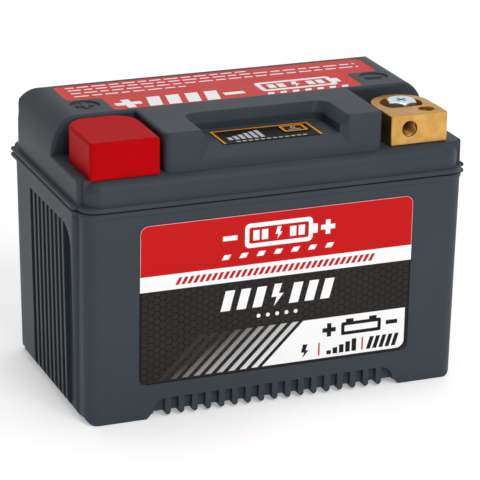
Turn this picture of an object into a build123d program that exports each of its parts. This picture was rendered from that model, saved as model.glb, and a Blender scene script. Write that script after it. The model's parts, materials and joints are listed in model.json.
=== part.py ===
from build123d import *
import math
import os

# A sealed 12 V lithium motorcycle battery. Millimetres, +Z up, +X along the length.
# The origin is under the middle of the battery, on the surface that it stands on.
# The terminals and the charge indicator face -Y. The positive post is on the -X side.

# ---- driving dimensions -------------------------------------------------------------
LENGTH = 150.0
DEPTH = 87.0
HEIGHT = 105.0

# Case
CASE_FLOOR = 4.0
CASE_TOP = 79.85
BODY_TOP = 78.85
CASE_RIM_DROP = 2.0
PANEL_HALF_LENGTH_TOP = 72.4
PANEL_HALF_LENGTH_FOOT = 71.7
PANEL_HALF_DEPTH_TOP = 42.9
PANEL_HALF_DEPTH_FOOT = 41.3
PANEL_CORNER = 5.0
END_HALF_LENGTH_TOP = 74.0
END_HALF_LENGTH_FOOT = 72.8
END_HALF_DEPTH_TOP = 36.3
END_HALF_DEPTH_FOOT = 33.4
END_CORNER = 4.0
END_FOOT_ROUND = 5.0
PANEL_FOOT_ROUND = 3.8
ROUND_CLEARANCE = 0.02
CAVITY_HALF_LENGTH = 70.2
CAVITY_HALF_DEPTH = 38.3
CAVITY_CORNER = 4.0

# Rim where the lid meets the case
RIM_HALF_DEPTH = 36.7
RIM_STEP = 1.7
RIM_CORNER = 7.0
RIM_EDGE = 0.5
SEAL_SET_BACK = 1.2

# Ribbed foot along the front and the back
FOOT_RIB_COUNT = 17
FOOT_RIB_PITCH = 5.16
FOOT_RIB_WIDTH = 2.2
FOOT_RIB_FOOT = 0.8
FOOT_RIB_TOP = 7.4
FOOT_POCKET_DEPTH = 1.8
FOOT_POCKET_END = 46.9
FOOT_POCKET_ROUND = 5.2
NOTCH_TOP = 2.05
NOTCH_HALF_LENGTH = 47.3
NOTCH_REACH = 6.5

# Ribbed panels in the two ends
END_RIB_COUNT = 8
END_RIB_PITCH = 4.83
END_RIB_WIDTH = 1.9
END_RIB_FIRST = 12.4
END_PANEL_FRONT = -31.0
END_PANEL_REAR = 17.0
END_PANEL_FOOT = -1.0
END_PANEL_TOP = 72.0
END_PANEL_ROUND = 9.0
END_PANEL_DEPTH = 1.3

# Lid
LID_FOOT = 80.15
FLANGE_TOP = 82.0
SHOULDER_TOP = 91.0
SHOULDER_HALF_LENGTH = 71.9
SHOULDER_HALF_DEPTH = 42.3
SHOULDER_ROUND = 4.5
END_SHOULDER_ROUND = 0.6
LID_END_HALF_LENGTH = 73.3
LID_END_HALF_DEPTH = 36.9
LID_END_CORNER = 5.0
CROWN_SPRING_Z = 86.0
CROWN_END_SPRING_Z = 88.0
CROWN_END_ROUND = 9.8
CROWN_REAR_ROUND = 12.3
WELL_REAR = -6.8
BLOCK_HALF_LENGTH = 41.5
BLOCK_FRONT = -38.5
BLOCK_CORNER = 2.4
BLOCK_EDGE = 1.2
LID_SKIN = 2.5
HOLLOW_HALF_LENGTH = 59.0
HOLLOW_REAR = 28.0
LIP_DEPTH = 2.5
LIP_WALL = 1.5
FIT_GAP = 0.1

# Charge indicator recess in the top of the lid
RECESS_TOP_HALF_LENGTH = 28.0
RECESS_HALF_LENGTH = 25.2
RECESS_TOP_REAR = -17.5
RECESS_REAR = -18.6
RECESS_LEDGE_Z = 101.2
RECESS_FLOOR_Z = 98.2
RECESS_CORNER = 5.0
RECESS_SLOPE_REAR = -36.8
RECESS_LIP_Z = 93.9
RECESS_LIP_HALF_LENGTH = 28.8
RECESS_LIP_LEDGE_HALF_LENGTH = 28.2
RECESS_OVERRUN = 1.0
RECESS_TOP_PAST = 0.01
RECESS_FRONT_PAST = 0.05

# Polarity marks moulded in the top of the lid
MARK_X = 56.7
MARK_Y = 4.5
MARK_RADIUS = 5.5
MARK_DEPTH = 0.5
MARK_BAR = 6.4
MARK_BAR_WIDTH = 1.5

# Terminals
POST_X = 56.4
POST_Y = -20.9
TERMINAL_LOW_X = 45.3
TERMINAL_HIGH_X = 67.5
TERMINAL_FRONT = -37.3
TERMINAL_BACK = -27.0
TERMINAL_TOP = 102.3
TERMINAL_EDGE = 0.35
TERMINAL_RING_RADIUS = 11.0
TERMINAL_RING_TOP = 101.9
COUNTERBORE_RADIUS = 7.8
COUNTERBORE_FLOOR = 97.5
FRONT_HOLE_X = 52.5
FRONT_HOLE_Z = 97.1
FRONT_HOLE_RADIUS = 3.0
FRONT_HOLE_DEPTH = 8.5
TOP_HOLE_X = 61.4
TOP_HOLE_Y = -31.9
TOP_HOLE_RADIUS = 3.0
TOP_HOLE_DEPTH = 9.0
HOLE_CHAMFER = 0.5

# M6 terminal bolt, washer and the threaded post moulded into the lid
BOLT_RADIUS = 3.0
BOLT_CLEARANCE = 0.05
BOLT_HOLE_RADIUS = 3.3
BOLT_FOOT = 84.2
HEAD_ACROSS_FLATS = 10.0
HEAD_HEIGHT = 4.1
HEAD_TOP = 103.2
HEAD_TURN = 20
HEAD_BEVEL = 0.2
HEAD_BEVEL_DEGREES = 60
SHANK_CHAMFER = 0.6
WASHER_RADIUS = 5.9
WASHER_BORE_RADIUS = 3.2
DRIVE_SLOT_LENGTH = 4.6
DRIVE_SLOT_WIDTH = 1.0
DRIVE_DEPTH = 2.2
DRIVE_TURN = 25
POST_RADIUS = 6.0
POST_FLANGE_RADIUS = 8.0
POST_FLANGE_LOW = 83.0
POST_FLANGE_HIGH = 85.0
POST_STUB_RADIUS = 4.0
POST_STUB_FOOT = 80.6
POST_BOSS_RADIUS = 8.6
POST_BORE_FLOOR = 82.4

# Red cap over the positive terminal
CAP_LOW_X = 43.4
CAP_HIGH_X = 69.2
CAP_FRONT = -39.4
CAP_BACK = -8.0
CAP_TOP = 104.35
CAP_WALL = 1.2
CAP_ROOF = 1.0
CAP_REAR_CORNER = 9.5
CAP_FRONT_CORNER = 1.3
CAP_EDGE = 1.0
SMALLEST_CORNER = 0.3

# Indicator overlay, button, light guides and board
OVERLAY_HALF_LENGTH = 18.8
OVERLAY_FRONT = -36.6
OVERLAY_REAR = -21.6
OVERLAY_THICKNESS = 0.35
OVERLAY_CORNER = 1.5
BAR_COUNT = 6
BAR_FIRST_X = -14.6
BAR_PITCH = 2.4
BAR_WIDTH = 1.6
BAR_FOOT_Y = -33.0
BAR_SHORTEST = 3.0
BAR_GROWTH = 1.05
BUTTON_X = 11.0
BUTTON_Y = -27.8
BUTTON_LENGTH = 9.8
BUTTON_WIDTH = 7.6
BUTTON_GAP = 0.15
BUTTON_TOP = 98.95
BUTTON_CORNER = 0.9
BUTTON_EDGE = 0.3
BUTTON_FLANGE = 1.1
BUTTON_FLANGE_HIGH = 95.4
BUTTON_FLANGE_LOW = 94.9
FLOOR_UNDERSIDE = 95.5
GUIDE_REACH = 0.6
BOARD_TOP = 92.6
BOARD_THICKNESS = 1.2
BOARD_HALF_LENGTH = 22.0
BOARD_FRONT = -35.6
BOARD_REAR = -20.0
PILLAR_RADIUS = 1.5
PILLAR_INSET = 2.0
LED_WIDTH = 1.0
LED_LENGTH = 2.0
LED_HEIGHT = 0.9
SWITCH_SIDE = 6.0
SWITCH_HEIGHT = 1.7
PLUNGER_RADIUS = 1.6
PLUNGER_FOOT = 93.2
PLUNGER_PIT = 92.75

# Labels
LABEL_THICKNESS = 0.25
TOP_LABEL_SINK = 0.05
FRONT_LABEL_LENGTH = 104.4
FRONT_LABEL_LOW = 13.5
FRONT_LABEL_HIGH = 73.7
FRONT_LABEL_CORNER = 3.0
TOP_LABEL_HALF_LENGTH = 61.2
TOP_LABEL_NECK = 48.4
TOP_LABEL_REAR = 29.4
TOP_LABEL_SHELF = 11.3
TOP_LABEL_FRONT = -5.0
TOP_LABEL_CORNER = 2.2

# Cells and the pieces that hold and join them
CELL_RADIUS = 13.0
CELL_LENGTH = 65.0
CELL_PITCH = 27.0
CELL_FOOT = 8.0
CELL_COLUMNS = 4
CELL_ROWS = 2
CELL_GROOVE_FROM_END = 5.0
CELL_NUB_RADIUS = 5.0
CELL_NUB_HEIGHT = 0.8
CELL_NUB_ROOT = 2.0
CELL_EDGE = 0.8
CELL_GROOVE_ROUND = 0.8
CELL_GROOVE_OFFSET = 0.4
FRAME_THICKNESS = 6.0
FRAME_MARGIN = 14.4
FRAME_LOW_Z = 10.0
FRAME_HIGH_Z = 65.0
FRAME_HOLE_GAP = 0.12
FRAME_CORNER = 3.0
LINK_THICKNESS = 0.3
LINK_END = 8.0
PAD_GAP = 0.4
PAD_DROP = 2.0
SENSE_WIDTH = 4.0
SENSE_THICKNESS = 0.3
SENSE_OVERLAP = 4.0
SHEET_THICKNESS = 0.5
SHEET_MARGIN = 2.0

# Balance board over the two middle columns of cells
BALANCE_HALF_LENGTH = 29.0
BALANCE_HALF_DEPTH = 23.0
BALANCE_FOOT = 76.0
BALANCE_THICKNESS = 1.6
BALANCE_CORNER = 2.0
SPACER_RADIUS = 2.6
SCREW_RADIUS = 1.2
SCREW_HEAD_RADIUS = 2.3
SCREW_HEAD_HEIGHT = 1.5
SPACER_X = 25.5
SPACER_Y = 15.5
SPACER_FLOOR = 0.5
SCREW_TIP = 0.6
SCREW_SLOT_LENGTH = 2.6
SCREW_SLOT_WIDTH = 0.6
SCREW_SLOT_DEPTH = 0.6
PART_COUNT = 4
PART_FIRST_X = -15.0
PART_PITCH = 10.0
TRANSISTOR_SIDE = 6.0
TRANSISTOR_Y = 7.0
TRANSISTOR_HEIGHT = 2.3
RESISTOR_ROWS = 2
RESISTOR_FIRST_Y = -11.0
RESISTOR_ROW_PITCH = 6.0
RESISTOR_LENGTH = 6.2
RESISTOR_WIDTH = 3.2
RESISTOR_HEIGHT = 0.6
SOCKET_LENGTH = 10.0
SOCKET_WIDTH = 5.0
SOCKET_Y = 16.5
SOCKET_HEIGHT = 4.0
SOCKET_WALL = 0.8
SOCKET_FLOOR = 1.0

# Power straps from the cells up to the posts
STRAP_THICKNESS = 1.0
STRAP_WIDTH = 10.0
STRAP_RISE_X = 49.6
STRAP_INNER_X = 35.0
STRAP_OUTER_X = 62.0

# ---- values worked out from the dimensions ------------------------------------------
CELL_TOP = CELL_FOOT + CELL_LENGTH
LINK_TOP = CELL_TOP + LINK_THICKNESS
PANEL_SLOPE = (PANEL_HALF_DEPTH_TOP - PANEL_HALF_DEPTH_FOOT) / BODY_TOP
HEAD_FOOT = HEAD_TOP - HEAD_HEIGHT
BALANCE_TOP = BALANCE_FOOT + BALANCE_THICKNESS
SHEET_TOP = LINK_TOP + SHEET_THICKNESS
POSITIVE = -1
NEGATIVE = 1
PAST = 5.0


# ---- shared shapes ------------------------------------------------------------------
def block(x_low, x_high, y_low, y_high, z_low, z_high):
    """A rectangular block between two corners."""
    middle = Pos((x_low + x_high) / 2, (y_low + y_high) / 2, (z_low + z_high) / 2)
    return middle * Box(x_high - x_low, y_high - y_low, z_high - z_low)


def rounded_block(half_length, half_depth, corner, z_low, z_high):
    """An upright block with rounded corners in plan, centred on the battery."""
    plan = Pos(0, 0, z_low) * RectangleRounded(2 * half_length, 2 * half_depth, corner)
    return extrude(plan, z_high - z_low)


def drafted_block(foot, top, corner, z_low, z_high):
    """An upright block that widens from its foot to its top, as a moulding does."""
    low = Pos(0, 0, z_low) * RectangleRounded(2 * foot[0], 2 * foot[1], corner)
    high = Pos(0, 0, z_high) * RectangleRounded(2 * top[0], 2 * top[1], corner)
    return loft([low, high])


def upright_cylinder(x, y, radius, z_low, z_high):
    """A cylinder standing on z_low."""
    foot = Pos(x, y, z_low)
    return foot * Cylinder(radius, z_high - z_low, align=(Align.CENTER, Align.CENTER, Align.MIN))


def edges_at_height(shape, z, tolerance=0.01):
    """The level edges of a shape at one height."""
    return shape.edges().filter_by_position(Axis.Z, z - tolerance, z + tolerance)


def both_ends(shape):
    """A shape and its mirror image at the other end of the battery."""
    return shape + shape.mirror(Plane.YZ)


# ---- case ---------------------------------------------------------------------------
def rim(z_low, z_high):
    """The band around the joint, stepped in at each corner and rounded over its edges."""
    ends = block(-LENGTH / 2, LENGTH / 2, -RIM_HALF_DEPTH, RIM_HALF_DEPTH, z_low, z_high)
    middle = rounded_block(LENGTH / 2 - RIM_STEP, DEPTH / 2, RIM_CORNER, z_low, z_high)
    ends = chamfer(edges_at_height(ends, z_low) + edges_at_height(ends, z_high), RIM_EDGE)
    middle = fillet(edges_at_height(middle, z_low) + edges_at_height(middle, z_high), RIM_EDGE)
    return ends + middle


def rounded_foot(half_foot, half_top, radius):
    """Front view of a part of the body, with round lower corners, as deep as the case."""
    low = half_foot + ROUND_CLEARANCE
    high = half_top + ROUND_CLEARANCE
    face = make_face(Polyline((-low, 0), (low, 0), (high, CASE_TOP), (-high, CASE_TOP), close=True))
    face = fillet(face.vertices().sort_by(Axis.Y)[:2], radius)
    return extrude(Plane.XZ.offset(-DEPTH) * face, 2 * DEPTH)


def case_body():
    """The outer body under the rim, before anything is cut into it."""
    ends = drafted_block(
        (END_HALF_LENGTH_FOOT, END_HALF_DEPTH_FOOT),
        (END_HALF_LENGTH_TOP, END_HALF_DEPTH_TOP),
        END_CORNER,
        0,
        BODY_TOP,
    )
    middle = drafted_block(
        (PANEL_HALF_LENGTH_FOOT, PANEL_HALF_DEPTH_FOOT),
        (PANEL_HALF_LENGTH_TOP, PANEL_HALF_DEPTH_TOP),
        PANEL_CORNER,
        0,
        BODY_TOP,
    )
    ends &= rounded_foot(END_HALF_LENGTH_FOOT, END_HALF_LENGTH_TOP, END_FOOT_ROUND)
    middle &= rounded_foot(PANEL_HALF_LENGTH_FOOT, PANEL_HALF_LENGTH_TOP, PANEL_FOOT_ROUND)
    return ends + middle


def foot_rib_faces():
    """Front view of the row of ribs, each with a round lower end."""
    first = -FOOT_RIB_PITCH * (FOOT_RIB_COUNT - 1) / 2
    half = FOOT_RIB_WIDTH / 2
    low = FOOT_RIB_FOOT + half
    high = FOOT_RIB_TOP + PAST
    ribs = Sketch()
    for number in range(FOOT_RIB_COUNT):
        x = first + number * FOOT_RIB_PITCH
        ribs += Pos(x, (low + high) / 2) * Rectangle(FOOT_RIB_WIDTH, high - low)
        ribs += Pos(x, low) * Circle(half)
    return ribs


def foot_pocket_face():
    """Front view of the pocket behind the ribs, rounded at its upper corners."""
    low = NOTCH_TOP - 0.05
    middle = Pos(0, (low + FOOT_RIB_TOP) / 2)
    face = middle * Rectangle(2 * FOOT_POCKET_END, FOOT_RIB_TOP - low)
    tops = face.vertices().sort_by(Axis.Y)[-2:]
    return fillet(tops, FOOT_POCKET_ROUND)


def foot_notch_face():
    """Front view of the notch under the ribs, with sloped ends."""
    below = 1.0
    wide = NOTCH_HALF_LENGTH + NOTCH_TOP + below
    outline = Polyline(
        (-wide, -below),
        (wide, -below),
        (NOTCH_HALF_LENGTH, NOTCH_TOP),
        (-NOTCH_HALF_LENGTH, NOTCH_TOP),
        close=True,
    )
    return make_face(outline)


def cut_rear_foot(body):
    """Cuts the notch and the pocket into the foot at the back."""
    ribs = foot_rib_faces()
    pocket_start = Plane.XZ.offset(FOOT_POCKET_DEPTH - PANEL_HALF_DEPTH_FOOT)
    notch_start = Plane.XZ.offset(NOTCH_REACH - PANEL_HALF_DEPTH_FOOT)
    body -= extrude(pocket_start * (foot_pocket_face() - ribs), PAST, dir=(0, 1, 0))
    body -= extrude(notch_start * (foot_notch_face() - ribs), NOTCH_REACH + PAST, dir=(0, 1, 0))
    return body


def end_panel_cutter():
    """The ribbed recess in the +X end, open at the foot and rounded at its front top."""
    outline = Polyline(
        (END_PANEL_FRONT, END_PANEL_FOOT),
        (END_PANEL_FRONT, END_PANEL_TOP),
        (END_PANEL_REAR, END_PANEL_TOP),
        (END_PANEL_REAR, END_PANEL_FOOT),
        close=True,
    )
    face = make_face(outline)
    corner = face.vertices().sort_by(Axis.Y)[-2:].sort_by(Axis.X)[0]
    face = fillet(corner, END_PANEL_ROUND)
    start = END_HALF_LENGTH_TOP - END_PANEL_DEPTH
    draft = END_HALF_LENGTH_TOP - END_HALF_LENGTH_FOOT
    recess = extrude(Plane.YZ.offset(start - draft) * face, PAST)
    for number in range(END_RIB_COUNT):
        y = END_RIB_FIRST - number * END_RIB_PITCH
        half = END_RIB_WIDTH / 2
        recess -= block(start - PAST, LENGTH, y - half, y + half, 0, CASE_TOP)
    return recess


def make_case():
    """The one-piece moulded case, open at the top."""
    body = case_body() + rim(CASE_TOP - CASE_RIM_DROP, CASE_TOP)
    cavity = rounded_block(CAVITY_HALF_LENGTH, CAVITY_HALF_DEPTH, CAVITY_CORNER, CASE_FLOOR, CASE_TOP + PAST)
    body -= cavity
    rear_half = cut_rear_foot(body) & block(-LENGTH, LENGTH, 0, DEPTH, -PAST, HEIGHT)
    body = rear_half + rear_half.mirror(Plane.XZ)
    body -= both_ends(end_panel_cutter())
    return body


# ---- lid ----------------------------------------------------------------------------
def crown_over_length():
    """Section along the battery: upright ends that round over into the flat top."""
    flat = LID_END_HALF_LENGTH - CROWN_END_ROUND
    rise = HEIGHT - CROWN_END_SPRING_Z
    right = EllipticalCenterArc((flat, CROWN_END_SPRING_Z), CROWN_END_ROUND, rise, 0, arc_size=90)
    left = EllipticalCenterArc((-flat, CROWN_END_SPRING_Z), CROWN_END_ROUND, rise, 90, arc_size=90)
    top = Line((flat, HEIGHT), (-flat, HEIGHT))
    sides = Polyline(
        (-LID_END_HALF_LENGTH, CROWN_END_SPRING_Z),
        (-LID_END_HALF_LENGTH, LID_FOOT),
        (LID_END_HALF_LENGTH, LID_FOOT),
        (LID_END_HALF_LENGTH, CROWN_END_SPRING_Z),
    )
    face = make_face(Curve() + [right, top, left, sides])
    return extrude(Plane.XZ.offset(-DEPTH) * face, 2 * DEPTH)


def crown_over_depth():
    """Section across the battery: the back rounds over, the front stays upright."""
    flat = SHOULDER_HALF_DEPTH - CROWN_REAR_ROUND
    rise = HEIGHT - CROWN_SPRING_Z
    rear = EllipticalCenterArc((flat, CROWN_SPRING_Z), CROWN_REAR_ROUND, rise, 0, arc_size=90)
    rest = Polyline(
        (flat, HEIGHT),
        (BLOCK_FRONT, HEIGHT),
        (BLOCK_FRONT, LID_FOOT),
        (SHOULDER_HALF_DEPTH, LID_FOOT),
        (SHOULDER_HALF_DEPTH, CROWN_SPRING_Z),
    )
    face = make_face(Curve() + [rear, rest])
    return extrude(Plane.YZ.offset(-LENGTH) * face, 2 * LENGTH)


def lid_ends(z_low, z_high):
    """The upright block that reaches both ends of the lid, rounded at its two rear corners."""
    face = Rectangle(2 * LID_END_HALF_LENGTH, 2 * LID_END_HALF_DEPTH)
    face = fillet(face.vertices().sort_by(Axis.Y)[-2:], LID_END_CORNER)
    return extrude(Pos(0, 0, z_low) * face, z_high - z_low)


def lid_plan(z_low, z_high):
    """The lid's upright outline above its flange."""
    middle = rounded_block(SHOULDER_HALF_LENGTH, SHOULDER_HALF_DEPTH, RIM_CORNER, z_low, z_high)
    return lid_ends(z_low, z_high) + middle


def shoulder():
    """The low pillow-edged step that runs round the battery under the terminals."""
    pillow = rounded_block(SHOULDER_HALF_LENGTH, SHOULDER_HALF_DEPTH, RIM_CORNER, LID_FOOT, SHOULDER_TOP)
    pillow = fillet(edges_at_height(pillow, SHOULDER_TOP), SHOULDER_ROUND)
    ends = block(
        -LID_END_HALF_LENGTH,
        LID_END_HALF_LENGTH,
        -LID_END_HALF_DEPTH,
        WELL_REAR,
        LID_FOOT,
        SHOULDER_TOP,
    )
    ends = fillet(edges_at_height(ends, SHOULDER_TOP).filter_by(Axis.Y), END_SHOULDER_ROUND)
    return pillow + ends


def crown():
    """The high part of the lid: the full width at the back and the middle block in front."""
    whole = lid_plan(LID_FOOT, HEIGHT) & crown_over_length() & crown_over_depth()
    for side in (POSITIVE, NEGATIVE):
        near = side * BLOCK_HALF_LENGTH
        far = side * LENGTH
        well = block(min(near, far), max(near, far), -DEPTH, WELL_REAR, SHOULDER_TOP, HEIGHT + PAST)
        whole -= well
    return whole


def soften_crown(shape):
    """Rounds the block's front and side edges and the top edges of the terminal wells."""
    uprights = shape.edges().filter_by(Axis.Z)
    corners = uprights.filter_by_position(Axis.Y, BLOCK_FRONT - 0.1, BLOCK_FRONT + 0.1)
    corners = corners.filter_by_position(Axis.X, -BLOCK_HALF_LENGTH - 0.1, BLOCK_HALF_LENGTH + 0.1)
    shape = fillet(corners, BLOCK_CORNER)
    top = edges_at_height(shape, HEIGHT)
    top = top.filter_by_position(Axis.Y, BLOCK_FRONT - 0.1, WELL_REAR + 0.1)
    return fillet(top, BLOCK_EDGE)


def recess_section(y, foot_half, ledge_half, foot_z):
    """An upright slice across the recess, from its floor up to the top of the lid."""
    top = HEIGHT + RECESS_TOP_PAST
    outline = [
        (-foot_half, foot_z),
        (foot_half, foot_z),
        (ledge_half, RECESS_LEDGE_Z),
        (RECESS_TOP_HALF_LENGTH, top),
        (-RECESS_TOP_HALF_LENGTH, top),
        (-ledge_half, RECESS_LEDGE_Z),
    ]
    return Plane.XZ.offset(-y) * Polygon(*outline, align=None)


def recess_cutter():
    """The sloped-sided recess for the charge indicator, open at the front of the block."""
    front = BLOCK_FRONT - RECESS_CORNER - RECESS_OVERRUN
    top_depth = RECESS_TOP_REAR - front
    ledge_depth = RECESS_REAR - front
    top_plan = RectangleRounded(2 * RECESS_TOP_HALF_LENGTH, top_depth, RECESS_CORNER)
    ledge_plan = RectangleRounded(2 * RECESS_HALF_LENGTH, ledge_depth, RECESS_CORNER - 1)
    top_place = Pos(0, (RECESS_TOP_REAR + front) / 2, HEIGHT + RECESS_TOP_PAST)
    ledge_place = Pos(0, (RECESS_REAR + front) / 2, RECESS_LEDGE_Z)
    flare = loft([ledge_place * ledge_plan, top_place * top_plan])
    pit = extrude(ledge_place * ledge_plan, RECESS_FLOOR_Z - RECESS_LEDGE_Z)
    front_face = BLOCK_FRONT - RECESS_FRONT_PAST
    slope = loft(
        [
            recess_section(RECESS_SLOPE_REAR, RECESS_HALF_LENGTH, RECESS_HALF_LENGTH, RECESS_FLOOR_Z),
            recess_section(front_face, RECESS_LIP_HALF_LENGTH, RECESS_LIP_LEDGE_HALF_LENGTH, RECESS_LIP_Z),
        ],
        ruled=True,
    )
    keep_behind_slope = block(-LENGTH, LENGTH, RECESS_SLOPE_REAR, 0, 0, HEIGHT + PAST)
    return flare + (pit & keep_behind_slope) + slope


def mark_cutter(x, has_upright):
    """The sunk disc around a polarity mark, which leaves the mark itself standing."""
    disc = upright_cylinder(x, MARK_Y, MARK_RADIUS, HEIGHT - MARK_DEPTH, HEIGHT + PAST)
    half_bar = MARK_BAR / 2
    half_width = MARK_BAR_WIDTH / 2
    top = HEIGHT + PAST
    disc -= block(x - half_bar, x + half_bar, MARK_Y - half_width, MARK_Y + half_width, 0, top)
    if has_upright:
        disc -= block(x - half_width, x + half_width, MARK_Y - half_bar, MARK_Y + half_bar, 0, top)
    return disc


def lid_hollow():
    """The space inside the lid over the cells, the leads and the indicator board."""
    under_wells = rounded_block(
        CAVITY_HALF_LENGTH - LIP_WALL - FIT_GAP,
        CAVITY_HALF_DEPTH - LIP_WALL - FIT_GAP,
        CAVITY_CORNER - LIP_WALL,
        0,
        SHOULDER_TOP - LID_SKIN,
    )
    high = HEIGHT - LID_SKIN
    under_top = block(
        -HOLLOW_HALF_LENGTH, HOLLOW_HALF_LENGTH, WELL_REAR + LID_SKIN, HOLLOW_REAR, 0, high
    )
    side = BLOCK_HALF_LENGTH - LID_SKIN
    under_block = block(-side, side, BLOCK_FRONT + LID_SKIN, WELL_REAR + LID_SKIN, 0, FLOOR_UNDERSIDE)
    return under_wells + under_top + under_block


def lid_lip():
    """The ring that reaches down inside the case and centres the lid."""
    half_length = CAVITY_HALF_LENGTH - FIT_GAP
    half_depth = CAVITY_HALF_DEPTH - FIT_GAP
    return rounded_block(half_length, half_depth, CAVITY_CORNER, LID_FOOT - LIP_DEPTH, LID_FOOT)


def bar_sizes():
    """Middle x, lowest y and highest y of each bar of the charge indicator."""
    sizes = []
    for number in range(BAR_COUNT):
        x = BAR_FIRST_X + number * BAR_PITCH
        sizes.append((x, BAR_FOOT_Y, BAR_FOOT_Y + BAR_SHORTEST + number * BAR_GROWTH))
    return sizes


def button_window(grow, z_low, z_high):
    """A window for the button, larger than it by grow on every side."""
    half_length = BUTTON_LENGTH / 2 + grow
    half_width = BUTTON_WIDTH / 2 + grow
    return block(
        BUTTON_X - half_length,
        BUTTON_X + half_length,
        BUTTON_Y - half_width,
        BUTTON_Y + half_width,
        z_low,
        z_high,
    )


def make_lid():
    """The one-piece lid with its wells, indicator recess, post bosses and locating ring."""
    high = soften_crown(crown())
    lid = high + shoulder() + rim(LID_FOOT, FLANGE_TOP) + lid_lip()
    lid -= lid_hollow()
    for side in (POSITIVE, NEGATIVE):
        x = side * POST_X
        lid += upright_cylinder(x, POST_Y, POST_BOSS_RADIUS, POST_FLANGE_HIGH, SHOULDER_TOP)
        lid -= upright_cylinder(x, POST_Y, POST_RADIUS, 0, HEIGHT)
        lid -= mark_cutter(side * MARK_X, side == POSITIVE)
    lid -= recess_cutter()
    lid -= top_label_block(PAST)
    lid -= button_window(BUTTON_GAP, FLOOR_UNDERSIDE - 1, HEIGHT)
    half = BAR_WIDTH / 2
    for x, low, far in bar_sizes():
        lid -= block(x - half, x + half, low, far, FLOOR_UNDERSIDE - 1, HEIGHT)
    return lid


def make_lid_seal():
    """The bead of sealant that closes the joint, set back behind the rim's edge."""
    outside = rounded_block(
        LENGTH / 2 - RIM_STEP - SEAL_SET_BACK, DEPTH / 2 - SEAL_SET_BACK, RIM_CORNER, CASE_TOP, LID_FOOT
    )
    return outside - rounded_block(CAVITY_HALF_LENGTH, CAVITY_HALF_DEPTH, CAVITY_CORNER, 0, HEIGHT)


# ---- charge indicator ---------------------------------------------------------------
def make_indicator_overlay():
    """The printed film over the indicator, with a window for the button."""
    depth = OVERLAY_REAR - OVERLAY_FRONT
    middle = Pos(0, (OVERLAY_REAR + OVERLAY_FRONT) / 2, RECESS_FLOOR_Z)
    film = extrude(
        middle * RectangleRounded(2 * OVERLAY_HALF_LENGTH, depth, OVERLAY_CORNER), OVERLAY_THICKNESS
    )
    return film - button_window(BUTTON_GAP, 0, HEIGHT)


def make_light_guides():
    """Clear bars that carry the light from each diode up through the lid."""
    guides = []
    half = BAR_WIDTH / 2
    for x, low, far in bar_sizes():
        guides.append(block(x - half, x + half, low, far, FLOOR_UNDERSIDE - GUIDE_REACH, RECESS_FLOOR_Z))
    return guides


def make_test_button():
    """The button: a cap through the lid's window, with a flange under it as its stop."""
    cap = button_window(0, BUTTON_FLANGE_HIGH, BUTTON_TOP)
    cap = fillet(cap.edges().filter_by(Axis.Z), BUTTON_CORNER)
    cap = fillet(edges_at_height(cap, BUTTON_TOP), BUTTON_EDGE)
    return cap + button_window(BUTTON_FLANGE, BUTTON_FLANGE_LOW, BUTTON_FLANGE_HIGH)


def make_switch_plunger():
    """The switch's own plunger, which the button pushes down."""
    return upright_cylinder(BUTTON_X, BUTTON_Y, PLUNGER_RADIUS, PLUNGER_FOOT, BUTTON_FLANGE_LOW)


def make_button_switch():
    """The body of the switch under the button, with a pit for its plunger."""
    half = SWITCH_SIDE / 2
    body = block(
        BUTTON_X - half,
        BUTTON_X + half,
        BUTTON_Y - half,
        BUTTON_Y + half,
        BOARD_TOP,
        BOARD_TOP + SWITCH_HEIGHT,
    )
    return body - upright_cylinder(BUTTON_X, BUTTON_Y, PLUNGER_RADIUS + BOLT_CLEARANCE, PLUNGER_PIT, HEIGHT)


def make_indicator_board():
    """The small circuit board under the indicator."""
    foot = BOARD_TOP - BOARD_THICKNESS
    return block(-BOARD_HALF_LENGTH, BOARD_HALF_LENGTH, BOARD_FRONT, BOARD_REAR, foot, BOARD_TOP)


def make_indicator_leds():
    """One light-emitting diode under the foot of each light guide."""
    diodes = []
    half = LED_WIDTH / 2
    top = BOARD_TOP + LED_HEIGHT
    for x, low, far in bar_sizes():
        diodes.append(block(x - half, x + half, low, low + LED_LENGTH, BOARD_TOP, top))
    return diodes


def make_indicator_pillars():
    """Four pillars that hang the indicator board from the lid."""
    pillars = []
    reach = BOARD_HALF_LENGTH - PILLAR_INSET
    for x in (-reach, reach):
        for y in (BOARD_FRONT + PILLAR_INSET, BOARD_REAR - PILLAR_INSET):
            pillars.append(upright_cylinder(x, y, PILLAR_RADIUS, BOARD_TOP, FLOOR_UNDERSIDE))
    return pillars


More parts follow.
